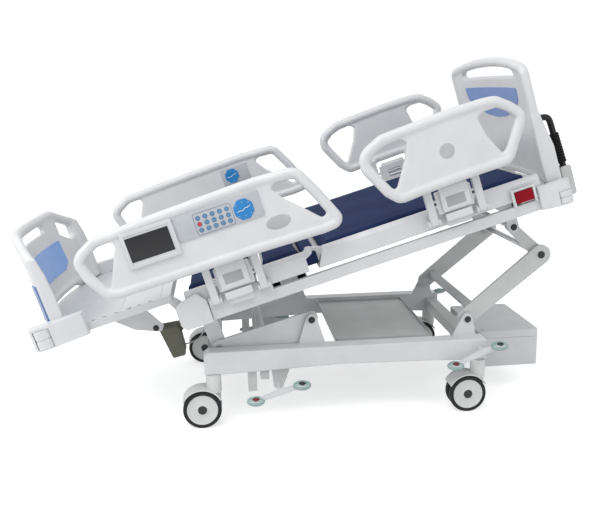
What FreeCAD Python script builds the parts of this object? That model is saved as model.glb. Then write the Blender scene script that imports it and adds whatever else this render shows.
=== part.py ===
# Electric hospital bed with lift arms, four split side rails and a sectioned deck
import FreeCAD
import Part
import math
import os

os.makedirs("parts", exist_ok=True)
doc = FreeCAD.newDocument("hospital_bed")
Vec = FreeCAD.Vector

# Driving sizes in millimetres and degrees
# World sizes: x toward the head end, y across, z up from the floor
# Deck sizes: u along the deck, v across, w square to the deck, tilted by deck_tilt
SIZES = [
    ("deck_tilt", 16.7),
    ("wheel_radius", 75), ("wheel_half_width", 38), ("wheel_gap_half", 12), ("axle_radius", 8),
    ("wheel_x", 530.6), ("wheel_y", 382), ("trail", 47.3),
    ("collar_radius", 30), ("collar_bottom", 139), ("stem_radius", 12), ("stem_depth", 30),
    ("fork_half", 10), ("guard_gap", 4), ("guard_thick", 5), ("run_fit", 0.06),
    ("rail_inner_y", 335), ("rail_width", 65), ("rail_top", 300), ("rail_wall", 5),
    ("cross_depth", 50), ("tube_wall", 4), ("tray_x", 9), ("tray_length", 405), ("tray_half", 301), ("tray_floor", 286),
    ("tray_rim", 12), ("tray_sheet", 3),
    ("box_x", 635), ("box_length", 271), ("box_half", 208), ("box_bottom", 108), ("box_top", 265),
    ("seam_z", 233), ("seam", 2),
    ("foot_pivot_x", -92), ("foot_pivot_z", 398), ("foot_knee_x", -456), ("foot_knee_z", 298),
    ("head_pivot_x", 542), ("head_pivot_z", 369), ("head_knee_x", 850), ("head_knee_z", 618),
    ("arm_inner_y", 314), ("arm_thick", 14), ("lug_inner_y", 336), ("lug_thick", 12),
    ("pivot_radius", 12), ("knee_rod_half", 330), ("leg_inner_y", 290), ("leg_thick", 20),
    ("link_inner_y", 296), ("link_thick", 12), ("hanger_inner_y", 338), ("hanger_thick", 12),
    ("deck_pivot_u", 904), ("deck_pivot_w", 500), ("open_pin_radius", 9), ("open_pin_gap", 26),
    ("tube_radius", 20),
    ("foot_pedal_x", -230), ("foot_pedal_z", 150), ("head_pedal_x", 581), ("head_pedal_z", 258),
    ("pedal_shaft_radius", 9), ("pedal_y", 440), ("pedal_y_foot", 470),
    ("hanger_half", 8),
    ("side_inner_v", 445), ("side_thick", 25), ("side_bottom_w", 566), ("side_top_w", 608),
    ("side_foot_u", -440), ("side_head_u", 1040),
    ("skirt_outer_v", 466), ("skirt_inner_v", 430), ("floor_w", 625), ("floor_thick", 15),
    ("skirt_top_w", 700), ("rest_width", 40),
    ("back_hinge_u", 92), ("thigh_hinge_u", -110), ("section_hinge_w", 700),
    ("back_foot_u", 111), ("back_head_u", 1008), ("seat_foot_u", -94), ("seat_head_u", 74),
    ("thigh_foot_u", -395), ("thigh_head_u", -126), ("hinge_pin_radius", 5), ("hinge_eye_radius", 12),
    ("hinge_plate", 12),
    ("foot_hinge_u", -424), ("foot_hinge_w", 645), ("foot_head_u", -444), ("foot_half", 450),
    ("foot_top_w", 706), ("foot_deep", 28), ("foot_sheet", 6),
    ("pad_half", 425), ("pad_top_w", 712), ("pad_gap", 0.3), ("pad_round", 12),
    ("shell_inner_v", 525), ("shell_thick", 45), ("shell_round", 11), ("recess", 8),
    ("strap_v", 500), ("strap_round", 12), ("strap_hole", 5), ("strap_width", 28),
    ("foot_strap_low_w", 640), ("foot_strap_high_w", 790),
    ("head_strap_low_w", 655), ("head_strap_high_w", 800),
    ("cheek", 8), ("cheek_gap", 1),
    ("board_half", 450), ("headboard_bow", 26), ("headboard_u", 1066), ("headboard_thick", 35),
    ("headboard_bottom_w", 640), ("headboard_pin_v", 380), ("headboard_pin_w", 590),
    ("footboard_bow", 104), ("footboard_u", -952), ("footboard_thick", 40),
    ("footboard_pin_v", 400), ("footboard_pin_w", 660), ("board_pin_radius", 11), ("insert_thick", 3),
    ("head_bar_top_w", 620), ("head_bar_u", 1040), ("head_bar_width", 66),
    ("foot_roller_u", -912), ("foot_roller_radius", 30), ("foot_roller_bottom", 680),
    ("foot_roller_height", 68), ("head_roller_u", 1078), ("head_roller_radius", 26),
    ("head_roller_bottom", 573), ("head_roller_height", 46), ("roller_v", 500), ("roller_pin", 6),
    ("roller_gap", 3),
    ("push_v", 330), ("push_pivot_u", 1165), ("push_pivot_w", 640), ("grip_radius", 12),
    ("push_plate", 8), ("push_pin_radius", 7),
    ("cpr_u", 895), ("cpr_length", 73), ("cpr_pivot_v", 479), ("cpr_pivot_w", 622), ("cpr_top_w", 664),
    ("cable_radius", 3),
]

sheet = doc.addObject("Spreadsheet::Sheet", "Sizes")
for row, (alias, number) in enumerate(SIZES, 1):
    sheet.set("A%d" % row, alias)
    sheet.set("B%d" % row, str(number))
    sheet.setAlias("B%d" % row, alias)
doc.recompute()


def value(alias):
    return float(sheet.get(alias))


def bind(item, prop, text):
    """Bind one property to sheet values; words in the text are sheet aliases."""
    item.setExpression(prop, linked(text))


def linked(text):
    words = []
    word = ""
    for letter in str(text) + " ":
        if letter.isalnum() or letter in "_.":
            word += letter
            continue
        words.append("Sizes." + word if word[:1].isalpha() else word)
        words.append(letter)
        word = ""
    return "".join(words).strip()


# Frames the pieces stand in
tilt = value("deck_tilt")
FLOOR = FreeCAD.Placement()
DECK = FreeCAD.Placement(Vec(0, 0, 0), FreeCAD.Rotation(Vec(0, -1, 0), tilt))
NEAR = -1
FAR = 1
SIDES = ((NEAR, "near"), (FAR, "far"))
nodes = []


def keep(item, label, frame=FLOOR):
    item.Label = label
    item.Placement = frame.multiply(item.Placement)
    nodes.append(item)
    return item


# Outline helpers: closed loops of lines and arcs
NEARLY_STRAIGHT = math.radians(87)


def rounded(points, radii):
    """Closed outline with every corner rounded; radii is one number or a list."""
    count = len(points)
    radii = list(radii) if isinstance(radii, (list, tuple)) else [radii] * count
    starts = []
    ends = []
    middles = []
    for i in range(count):
        here = Vec(points[i][0], points[i][1], 0)
        before = Vec(points[i - 1][0], points[i - 1][1], 0) - here
        after = Vec(points[(i + 1) % count][0], points[(i + 1) % count][1], 0) - here
        half = before.getAngle(after) / 2
        if half > NEARLY_STRAIGHT:
            radii[i] = 0
        radius = radii[i]
        reach = radius / math.tan(half) if radius else 0
        limit = 0.48 * min(before.Length, after.Length)
        if reach > limit:
            reach = limit
            radius = reach * math.tan(half)
        before.normalize()
        after.normalize()
        starts.append(here + before * reach)
        ends.append(here + after * reach)
        inward = (before + after)
        inward.normalize()
        middles.append(here + inward * (radius / math.sin(half) - radius))
    loop = []
    for i in range(count):
        if radii[i]:
            loop.append(Part.Arc(starts[i], middles[i], ends[i]))
        nxt = (i + 1) % count
        if (ends[i] - starts[nxt]).Length > 1e-6:
            loop.append(Part.LineSegment(ends[i], starts[nxt]))
    return loop


def ring(x, y, radius):
    return [Part.Circle(Vec(x, y, 0), Vec(0, 0, 1), radius)]


def rectangle(x0, x1, y0, y1, radius=0):
    return rounded([(x0, y0), (x1, y0), (x1, y1), (x0, y1)], radius)


def belt(p, rp, q, rq):
    """Outline of a link: two round ends joined by their common tangents."""
    p = Vec(p[0], p[1], 0)
    q = Vec(q[0], q[1], 0)
    along = q - p
    lean = math.acos((rp - rq) / along.Length)
    base = math.atan2(along.y, along.x)

    def rim(centre, radius, angle):
        return centre + Vec(math.cos(angle), math.sin(angle), 0) * radius

    p_up = rim(p, rp, base + lean)
    p_low = rim(p, rp, base - lean)
    q_up = rim(q, rq, base + lean)
    q_low = rim(q, rq, base - lean)
    return [
        Part.Arc(p_up, rim(p, rp, base + math.pi), p_low),
        Part.LineSegment(p_low, q_low),
        Part.Arc(q_low, rim(q, rq, base), q_up),
        Part.LineSegment(q_up, p_up),
    ]


# Feature helpers
def origin_plane(body, role):
    return [item for item in body.Origin.OriginFeatures if item.Role == role][0]


def sketch(body, role, loops, start):
    """Sketch on one of the body's own planes, moved along the plane normal by start."""
    item = body.newObject("Sketcher::SketchObject", "outline")
    item.AttachmentSupport = [(origin_plane(body, role), "")]
    item.MapMode = "FlatFace"
    item.setExpression("AttachmentOffset.Base.z", linked(start))
    for loop in loops:
        for edge in loop:
            item.addGeometry(edge, False)
    return item


def pad(body, role, loops, start, length):
    item = body.newObject("PartDesign::Pad", "pad")
    item.Profile = sketch(body, role, loops, start)
    bind(item, "Length", length)
    return item


def pocket(body, role, loops, start, length, flip=False):
    item = body.newObject("PartDesign::Pocket", "pocket")
    item.Profile = sketch(body, role, loops, start)
    item.Reversed = flip
    bind(item, "Length", length)
    return item


def new_body():
    return doc.addObject("PartDesign::Body", "body")


def plate(role, loops, start, length):
    body = new_body()
    pad(body, role, loops, start, length)
    return body


def across(side, inner, thick):
    """Start along -y of a plate that spans inner to inner + thick on one side."""
    return inner if side == NEAR else "-(%s + %s)" % (inner, thick)


def side_plate(side, loops, inner, thick):
    return plate("XZ_Plane", loops, across(side, inner, thick), thick)


def turned(body, role, profile, axis):
    item = body.newObject("PartDesign::Revolution", "turned")
    item.Profile = sketch(body, role, [profile], "0")
    item.ReferenceAxis = (item.Profile[0], [axis])
    item.Angle = 360
    return item


def round_edges(body, radius, test):
    doc.recompute()
    names = []
    for i, edge in enumerate(body.Shape.Edges, 1):
        if test(edge):
            names.append("Edge%d" % i)
    last = body.Tip
    item = body.newObject("PartDesign::Fillet", "rounding")
    item.Base = (last, names)
    bind(item, "Radius", radius)
    return item


def box(x, y, z, length, width, height):
    item = doc.addObject("Part::Box", "box")
    bind(item, "Placement.Base.x", x)
    bind(item, "Placement.Base.y", y)
    bind(item, "Placement.Base.z", z)
    bind(item, "Length", length)
    bind(item, "Width", width)
    bind(item, "Height", height)
    return item


def rod(x, y, z, radius, height, axis=(0, 0, 1)):
    """Cylinder from x, y, z along an axis direction."""
    item = doc.addObject("Part::Cylinder", "rod")
    item.Placement.Rotation = FreeCAD.Rotation(Vec(0, 0, 1), Vec(*axis))
    bind(item, "Placement.Base.x", x)
    bind(item, "Placement.Base.y", y)
    bind(item, "Placement.Base.z", z)
    bind(item, "Radius", radius)
    bind(item, "Height", height)
    return item


def fuse(items):
    item = doc.addObject("Part::MultiFuse", "joined")
    item.Shapes = items
    return item


def cut(base, tools):
    item = doc.addObject("Part::Cut", "cut")
    item.Base = base
    item.Tool = tools[0] if len(tools) == 1 else fuse(tools)
    return item


def common(first, second):
    item = doc.addObject("Part::Common", "common")
    item.Base = first
    item.Tool = second
    return item


def group(items):
    item = doc.addObject("Part::Compound", "group")
    item.Links = items
    return item


def pin_across(side, x, z, radius, inner, length):
    """Pin along y whose inner end lies at inner on the given side."""
    y = "-(%s)" % inner if side == NEAR else inner
    return rod(x, y, z, radius, length, (0, side, 0))


# Base frame
RAIL_BELLY = [
    (-518, 209), (-440, 209), (-257, 215), (12, 225), (374, 219), (535, 212), (610, 212),
    (610, 292), (598, 300), (-500, 300), (-518, 288),
]
HOLLOW_FOOT_X = -165
HOLLOW_HEAD_X = 545


def stem_x(wheel_x):
    return wheel_x + value("trail")


def rail_bottom(x):
    """Height of the rail underside at x, read from the belly outline."""
    low = RAIL_BELLY[:7]
    for first, second in zip(low, low[1:]):
        if first[0] <= x <= second[0]:
            part = (x - first[0]) / (second[0] - first[0])
            return first[1] + part * (second[1] - first[1])
    return low[0][1]


def base_rail(side, name):
    body = new_body()
    start = across(side, "rail_inner_y", "rail_width")
    pad(body, "XZ_Plane", [rounded(RAIL_BELLY, 6)], start, "rail_width")
    round_edges(body, "rail_wall", lambda e: along_outer_top(e, side))
    hollow = [(HOLLOW_FOOT_X, 150), (HOLLOW_HEAD_X, 150), (HOLLOW_HEAD_X, value("rail_top") - value("rail_wall")),
              (HOLLOW_FOOT_X, value("rail_top") - value("rail_wall"))]
    start = across(side, "rail_inner_y + tube_wall", "rail_width - 2 * tube_wall")
    bores = [plate("XZ_Plane", [rounded(hollow, 0)], start, "rail_width - 2 * tube_wall")]
    for wheel in (-value("wheel_x"), value("wheel_x")):
        x = stem_x(wheel)
        bores.append(rod(x, side * value("wheel_y"), rail_bottom(x) - 10, "stem_radius + run_fit",
                         "stem_depth + 10"))
    bores.append(pin_across(side, "head_pedal_x", "head_pedal_z", "pedal_shaft_radius + run_fit",
                            "rail_inner_y - 5", "rail_width + 10"))
    keep(cut(body, bores), "base_rail_" + name)


def along_outer_top(edge, side):
    box_ = edge.BoundBox
    outer = value("rail_inner_y") + value("rail_width")
    flat = abs(box_.YMin - side * outer) < 0.01 and abs(box_.YMax - side * outer) < 0.01
    return flat and box_.ZMin > value("rail_top") - 0.01 and box_.XLength > 50


def square_tube(x, low):
    """Cross member: a square tube whose open ends butt against the two rails."""
    inner = "rail_inner_y"
    bar = box(x, "-" + inner, low, "cross_depth", "2 * " + inner, "cross_depth")
    room = box("%s + tube_wall" % x, "-%s - 1" % inner, "%s + tube_wall" % low,
               "cross_depth - 2 * tube_wall", "2 * %s + 2" % inner, "cross_depth - 2 * tube_wall")
    return cut(bar, [room])


def base_cross_members():
    tubes = []
    inner = "rail_inner_y"
    for x, low in ((-505, 205), (40, 236), (340, 236), (548, 226)):
        tubes.append(square_tube(x, low))
    tongue = box(598, -60, 226, "box_x - 598", 120, 34)
    head_tube = fuse([tubes.pop(), tongue])
    shaft = rod("head_pedal_x", "-" + inner, "head_pedal_z", "pedal_shaft_radius + 2",
                "2 * " + inner, (0, 1, 0))
    head_tube = cut(head_tube, [shaft])
    keep(group(tubes + [head_tube]), "base_cross_members")


def base_tray():
    x0, x1 = value("tray_x"), value("tray_x") + value("tray_length")
    half = value("tray_half")
    sheet_ = value("tray_sheet")
    body = plate("XY_Plane", [rectangle(x0, x1, -half, half, 14)], "tray_floor", "tray_rim")
    pocket(body, "XY_Plane", [rectangle(x0 + sheet_, x1 - sheet_, -half + sheet_, half - sheet_, 11)],
           "tray_floor + tray_rim", "tray_rim - tray_sheet")
    keep(body, "base_tray")


def power_box():
    x0, x1 = value("box_x"), value("box_x") + value("box_length")
    half = value("box_half")
    seam = value("seam")
    body = plate("XY_Plane", [rectangle(x0, x1, -half, half, 16)], "box_bottom", "seam_z - box_bottom")
    pad(body, "XY_Plane", [rectangle(x0 + seam, x1 - seam, -half + seam, half - seam, 14)],
        "seam_z", "seam")
    pad(body, "XY_Plane", [rectangle(x0, x1, -half, half, 16)], "seam_z + seam",
        "box_top - seam_z - seam")
    inset = 30
    screws = []
    for x in (x0 + inset, x1 - inset):
        for y in (-half + inset, half - inset):
            screws.append(ring(x, y, 6))
    pad(body, "XY_Plane", screws, "box_top", "seam")
    round_edges(body, "seam", lambda e: e.BoundBox.ZMin > value("box_top") - 0.01
                and e.BoundBox.ZMax < value("box_top") + 0.01 and e.Length > 40)
    keep(body, "power_box")


def pivot_bracket(side, x0, x1, px, pz, foot_z):
    """Upright plate on the base rail with the pivot pin that carries a lift arm."""
    crown = 22
    outline = rounded([(x0, foot_z), (x1, foot_z), (px + crown, pz + 4), (px + 10, pz + crown),
                       (px - 10, pz + crown), (px - crown, pz + 4)], [2, 2, 12, 12, 12, 12])
    lug = side_plate(side, [outline], "lug_inner_y", "lug_thick")
    reach = "lug_inner_y - arm_inner_y + 2"
    pin = pin_across(side, px, pz, "pivot_radius", "arm_inner_y - 2", reach)
    cap = pin_across(side, px, pz, "pivot_radius + 3", "lug_inner_y + lug_thick - 1", 7)
    return fuse([lug, pin, cap])


def arm_brackets():
    items = []
    for side, name in SIDES:
        items.append(pivot_bracket(side, -145, -38, value("foot_pivot_x"), value("foot_pivot_z"),
                                   value("rail_top")))
        items.append(pivot_bracket(side, 483, 579, value("head_pivot_x"), value("head_pivot_z"),
                                   value("rail_top")))
    keep(group(items), "arm_brackets")


def pedal_hangers():
    items = []
    px, pz = value("foot_pedal_x"), value("foot_pedal_z")
    outline = rounded([(px - 27, rail_bottom(px - 27)), (px - 18, pz - 15), (px, pz - 20),
                       (px + 18, pz - 15), (px + 48, rail_bottom(px + 48))], [0, 12, 12, 12, 0])
    for side, name in SIDES:
        lug = side_plate(side, [outline, ring(px, pz, value("pedal_shaft_radius") + value("run_fit"))],
                         360, "2 * hanger_half")
        items.append(lug)
        for x, low in ((-349, 128), (-300, 174)):
            peg = rounded([(x, low), (x + 34, low), (x + 34, rail_bottom(x + 34)), (x, rail_bottom(x))],
                          [3, 3, 0, 0])
            items.append(side_plate(side, [peg], 342, 40))
    keep(group(items), "pedal_hangers")


# Casters
def caster(side, wheel, name):
    y = side * value("wheel_y")
    x = stem_x(wheel)
    r = value("wheel_radius")
    top = rail_bottom(x)
    inner = r + value("guard_gap")
    outer = inner + value("guard_thick")
    start = "%s - wheel_half_width - 2" % (-y)

    def on(radius, angle):
        a = math.radians(angle)
        return Vec(wheel + radius * math.cos(a), r + radius * math.sin(a), 0)

    hood = [
        Part.Arc(on(outer, 28), on(outer, 90), on(outer, 152)),
        Part.LineSegment(on(outer, 152), on(inner, 152)),
        Part.Arc(on(inner, 152), on(inner, 90), on(inner, 28)),
        Part.LineSegment(on(inner, 28), on(outer, 28)),
    ]
    guard = plate("XZ_Plane", [hood], start, "2 * (wheel_half_width + 2)")
    web = rounded([(wheel - 20, r - 18), (wheel + 20, r - 18), (x + 24, r + 40), (x + 24, 145),
                   (wheel - 20, 145), (wheel - 55, r + 61)], [16, 16, 8, 4, 4, 4])
    hub = ring(wheel, r, value("axle_radius") + value("run_fit"))
    spine = plate("XZ_Plane", [web, hub], "%s - fork_half" % (-y), "2 * fork_half")
    collar = rod(x, y, "collar_bottom", "collar_radius", top - value("collar_bottom"))
    stem = rod(x, y, "collar_bottom + 5", "stem_radius", top + value("stem_depth") - 3
               - value("collar_bottom") - 5)
    keep_out = rod(wheel, "%s - wheel_half_width - 3" % y, r, "wheel_radius + guard_gap",
                   "wheel_half_width - fork_half + 3", (0, 1, 0))
    keep_out_far = rod(wheel, "%s + fork_half" % y, r, "wheel_radius + guard_gap",
                       "wheel_half_width - fork_half + 3", (0, 1, 0))
    shell = cut(fuse([guard, collar, stem]), [keep_out, keep_out_far])
    keep(fuse([shell, spine]), "caster_fork_" + name)

    half = value("wheel_half_width")
    gap = value("wheel_gap_half")
    axle = value("axle_radius")
    side_profile = [
        (gap, axle), (gap, r - 6), (gap + 5, r), (half - 6, r), (half, r - 5), (half, r - 9),
        (half - 3, r - 11), (half - 4, 24), (half, 19), (half, 0),
    ]
    profile = [(-a, b) for a, b in reversed(side_profile)] + side_profile
    body = new_body()
    turned(body, "YZ_Plane", rounded(profile, 0), "H_Axis")
    body.Placement.Base = Vec(wheel, y, r)
    keep(body, "caster_wheels_" + name)


# Brake pedals
def brake_pedal(name, px, pz, pads, y_outer):
    """Shaft across the base with a two-pad rocker on both ends."""
    solids = [rod(px, "-" + y_outer, pz, "pedal_shaft_radius", "2 * " + y_outer, (0, 1, 0))]
    for side, _ in SIDES:
        for x, z in pads:
            lever = belt((px, pz), 13, (x, z), 7)
            solids.append(side_plate(side, [lever], y_outer + " - 10", 10))
            middle = Vec(x, side * value(y_outer), 0)
            solids.append(plate("XY_Plane", [[Part.Ellipse(middle, 32, 17)]], z - 1, 6))
            solids.append(plate("XY_Plane", [[Part.Ellipse(middle, 27, 13)]], z - 5, 14))
    keep(fuse(solids), name)


# Lift arms, knees and links
def world_deck(u, w):
    a = math.radians(tilt)
    return (u * math.cos(a) - w * math.sin(a), u * math.sin(a) + w * math.cos(a))


def deck_of(x, z):
    a = math.radians(tilt)
    return (x * math.cos(a) + z * math.sin(a), -x * math.sin(a) + z * math.cos(a))


FOOT_PIVOT = (value("foot_pivot_x"), value("foot_pivot_z"))
FOOT_KNEE = (value("foot_knee_x"), value("foot_knee_z"))
HEAD_PIVOT = (value("head_pivot_x"), value("head_pivot_z"))
HEAD_KNEE = (value("head_knee_x"), value("head_knee_z"))
FOOT_ARM_BELLY = [
    (value("foot_knee_x") + 20, value("foot_knee_z") + 2), (value("foot_pivot_x") - 18, value("foot_pivot_z") - 2),
    (value("foot_pivot_x") - 8, value("foot_pivot_z") - 24), (value("foot_pivot_x") - 52, value("foot_pivot_z") - 116),
    (value("foot_knee_x") + 40, value("foot_knee_z") - 34), (value("foot_knee_x") + 6, value("foot_knee_z") - 22),
]
DECK_PIVOT = world_deck(value("deck_pivot_u"), value("deck_pivot_w"))


def between(p, q, part):
    return (p[0] + (q[0] - p[0]) * part, p[1] + (q[1] - p[1]) * part)


def lift_arm(name, pivot, r_pivot, knee, r_knee, part, belly=None):
    """Two plates and a cross tube; a belly deepens the plates below the line of the pivots."""
    bore = value("pivot_radius") + value("run_fit")
    items = []
    for side, _ in SIDES:
        if belly:
            items.append(side_plate(side, [rounded(belly, 12)], "arm_inner_y", "arm_thick"))
        loops = [belt(pivot, r_pivot, knee, r_knee), ring(pivot[0], pivot[1], bore),
                 ring(knee[0], knee[1], bore)]
        items.append(side_plate(side, loops, "arm_inner_y", "arm_thick"))
    x, z = between(pivot, knee, part)
    items.append(rod(x, "-arm_inner_y - 2", z, "tube_radius", "2 * (arm_inner_y + 2)", (0, 1, 0)))
    keep(fuse(items), name)


def knee_rod(name, knee):
    turned_rod = rod(knee[0], "-knee_rod_half", knee[1], "pivot_radius", "2 * knee_rod_half", (0, 1, 0))
    keep(group([turned_rod]), name)


def head_link():
    bore = value("pivot_radius") + value("run_fit")
    items = []
    for side, _ in SIDES:
        loops = [belt(HEAD_KNEE, 26, DECK_PIVOT, 20), ring(HEAD_KNEE[0], HEAD_KNEE[1], bore)]
        items.append(side_plate(side, loops, "link_inner_y", "link_thick"))
        items.append(pin_across(side, DECK_PIVOT[0], DECK_PIVOT[1], "open_pin_radius",
                                "link_inner_y + 2", "hanger_inner_y - open_pin_gap - link_inner_y - 2"))
    items.append(rod(DECK_PIVOT[0], "-link_inner_y - 2", DECK_PIVOT[1], "tube_radius - 8",
                     "2 * (link_inner_y + 2)", (0, 1, 0)))
    keep(fuse(items), "head_lift_link")


# Deck frame
def deck_side(side, name):
    u0, u1 = value("side_foot_u"), value("side_head_u")
    low, high = value("side_bottom_w"), value("side_top_w")
    hu, hw = value("foot_hinge_u"), value("foot_hinge_w")
    outline = rounded([(u0, low + 14), (u0 + 20, low), (u1, low), (u1, high), (u0 + 50, high),
                       (u0 + 32, high + 20), (u0 + 32, hw + 18), (u0, hw + 18)],
                      [14, 14, 2, 2, 8, 8, 14, 14])
    bore = ring(hu, hw, 8 + value("run_fit"))
    bar = side_plate(side, [outline, bore], "side_inner_v", "side_thick")
    wall = value("tube_wall")
    room = rectangle(u0 + 70, u1 - 12, low + wall, high - wall, 3)
    bar = cut(bar, [side_plate(side, [room], "side_inner_v - 1", "side_thick - tube_wall + 1")])
    nose = rounded([(u0, low + 20), (u0 + 16, low), (-322, low), (-322, 652), (-350, 688), (-418, 674),
                    (u0, 655)], [16, 14, 3, 10, 14, 16, 12])
    cover = side_plate(side, [nose], "side_inner_v + side_thick", 16)
    lugs = []
    for u in (value("cpr_u") - 9, value("cpr_u") + value("cpr_length") + 1):
        edge = [(side * 470, 604), (side * 484, 612), (side * 487, 622), (side * 479, 630),
                (side * 472, 626), (side * 470, 607)]
        hole = ring(side * value("cpr_pivot_v"), value("cpr_pivot_w"), 2.5 + value("run_fit"))
        lug = plate("YZ_Plane", [rounded(edge, [0, 3, 5, 4, 3, 0]), hole], u, 8)
        lugs.append(lug)
    keep(fuse([bar, cover] + lugs), "deck_side_" + name, DECK)


def deck_cross_members():
    inner = "side_inner_v"
    rest = "floor_w - side_bottom_w"
    tubes = []
    for u in (-380, -80, 20, 884):
        tube_ = box(u, "-" + inner, "side_bottom_w", "rest_width", "2 * " + inner, rest)
        room = box("%s + tube_wall" % u, "-%s - 1" % inner, "side_bottom_w + tube_wall",
                   "rest_width - 2 * tube_wall", "2 * %s + 2" % inner, rest + " - 2 * tube_wall")
        tubes.append(cut(tube_, [room]))
    bar = box("head_bar_u", "-side_inner_v - side_thick", "side_bottom_w", "head_bar_width",
              "2 * (side_inner_v + side_thick)", "head_bar_top_w - side_bottom_w")
    bores = [box("head_bar_u + tube_wall", "-side_inner_v - side_thick - 1", "side_bottom_w + tube_wall",
                 "head_bar_width - 2 * tube_wall", "2 * (side_inner_v + side_thick) + 2",
                 "head_bar_top_w - side_bottom_w - 2 * tube_wall")]
    for side, _ in SIDES:
        u = board_centre_u("headboard", value("headboard_pin_v"))
        bores.append(rod(u, side * value("headboard_pin_v"), "headboard_pin_w - 2",
                         "board_pin_radius + run_fit", "head_bar_top_w - headboard_pin_w + 3"))
    plates = []
    for side, _ in SIDES:
        u0 = "head_bar_u + head_bar_width - 1"
        v0 = "%s * push_v - 22" % side
        plates.append(box(u0, v0, 572, "push_pivot_u - head_bar_u - head_bar_width - 20", 44, 40))
        tower = rectangle(value("push_pivot_u") - 21, value("push_pivot_u") + 21, 552, 671, 8)
        u_side = side * value("push_v")
        plates.append(plate("XZ_Plane", [tower], "%s - 22" % (-u_side), "push_plate"))
        plates.append(plate("XZ_Plane", [tower], "%s + 22 - push_plate" % (-u_side), "push_plate"))
        plates.append(rod("push_pivot_u", "%s - 22" % u_side, "push_pivot_w", "push_pin_radius", 44,
                          (0, 1, 0)))
        foot = rectangle(value("push_pivot_u") - 21, value("push_pivot_u") + 21, 552, 600, 8)
        plates.append(plate("XZ_Plane", [foot], "%s - 22" % (-u_side), 44))
    head = fuse([cut(bar, bores)] + plates)
    keep(group(tubes + [head]), "deck_cross_members", DECK)


def deck_lift_brackets():
    bore = value("pivot_radius") + value("run_fit")
    ku, kw = deck_of(*FOOT_KNEE)
    pu, pw = value("deck_pivot_u"), value("deck_pivot_w")
    top = value("side_bottom_w")
    items = []
    for side, _ in SIDES:
        leg = rounded([(ku - 34, top), (ku - 30, kw - 10), (ku - 14, kw - 27), (ku + 14, kw - 27),
                       (ku + 28, kw - 10), (ku + 28, top)], [2, 18, 14, 14, 18, 2])
        items.append(side_plate(side, [leg, ring(ku, kw, bore)], "leg_inner_y", "leg_thick"))
        lug = rounded([(pu - 20, top), (pu - 22, pw), (pu - 10, pw - 22), (pu + 10, pw - 22),
                       (pu + 22, pw), (pu + 20, top)], [2, 10, 10, 10, 10, 2])
        items.append(side_plate(side, [lug, ring(pu, pw, value("open_pin_radius") + 0.5)],
                                "hanger_inner_y", "hanger_thick"))
    keep(group(items), "deck_lift_brackets", DECK)


# Lying surface sections
def trough(u0, u1):
    """Moulded tray of a deck section: floor with a raised rim on both sides."""
    outer, inner = value("skirt_outer_v"), value("skirt_inner_v")
    low, high = value("floor_w"), value("skirt_top_w")
    floor = low + value("floor_thick")
    profile = [(-outer, low), (outer, low), (outer, high - 12), (outer - 14, high), (inner, high),
               (inner, floor), (-inner, floor), (-inner, high), (-outer + 14, high),
               (-outer, high - 12)]
    body = plate("YZ_Plane", [rounded(profile, [6, 6, 8, 8, 6, 0, 0, 6, 8, 8])], str(u0), str(u1 - u0))
    return body


def hinge_eye(side, u_hinge, u_body, inner_v, hole):
    """Ear reaching from a section to its hinge axis, with or without the bore."""
    w = value("section_hinge_w")
    r = value("hinge_eye_radius")
    step = 1 if u_body > u_hinge else -1
    outline = rounded([(u_hinge - step * r, w - r), (u_body + step * 20, w - r - 26),
                       (u_body + step * 20, w - 6), (u_hinge + step * 2, w + r),
                       (u_hinge - step * r, w + r)], [r - 0.2, 4, 4, 8, r - 0.2])
    loops = [outline]
    if hole:
        loops.append(ring(u_hinge, w, value("hinge_pin_radius") + value("run_fit")))
    return side_plate(side, loops, inner_v, value("hinge_plate"))


def hinge_pair(items_outer, items_inner, side, u_hinge, u_fixed, u_moving):
    """Fixed eye with pin outside, moving eye with bore inside."""
    inner = value("skirt_inner_v")
    fixed = inner + value("hinge_plate") + 2
    items_outer.append(hinge_eye(side, u_hinge, u_fixed, fixed, False))
    pin_start = inner - 1
    items_outer.append(pin_across(side, u_hinge, "section_hinge_w", "hinge_pin_radius", str(pin_start),
                                  str(fixed + 4 - pin_start)))
    items_inner.append(hinge_eye(side, u_hinge, u_moving, inner, True))


def trim_corner(u_low, u_high, w_low, w_high, away):
    """Wedge removed from a section end so its rim slopes back from the hinge."""
    return plate("XZ_Plane", [rounded([(u_low, w_low), (u_high, w_high + 40), (u_low - away, w_high + 40),
                                       (u_low - away, w_low)], 0)], -600, 1200)


def sections():
    seat_items = [trough(value("seat_foot_u"), value("seat_head_u"))]
    back_items = []
    thigh_items = []
    for side, _ in SIDES:
        hinge_pair(seat_items, back_items, side, value("back_hinge_u"), value("seat_head_u"),
                   value("back_foot_u") + 24)
        hinge_pair(seat_items, thigh_items, side, value("thigh_hinge_u"), value("seat_foot_u"),
                   value("thigh_head_u"))
    keep(fuse(seat_items), "seat_section", DECK)

    u0 = value("back_foot_u")
    back = trough(u0, value("back_head_u"))
    wedge = trim_corner(u0 - 1, u0 + 55, value("floor_w") - 5, value("skirt_top_w"), 20)
    keep(fuse([cut(back, [wedge])] + back_items), "back_section", DECK)
    keep(fuse([trough(value("thigh_foot_u"), value("thigh_head_u"))] + thigh_items), "thigh_section",
         DECK)


def arc_through(p, q, r):
    return Part.Arc(Vec(p[0], p[1], 0), Vec(q[0], q[1], 0), Vec(r[0], r[1], 0))


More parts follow.
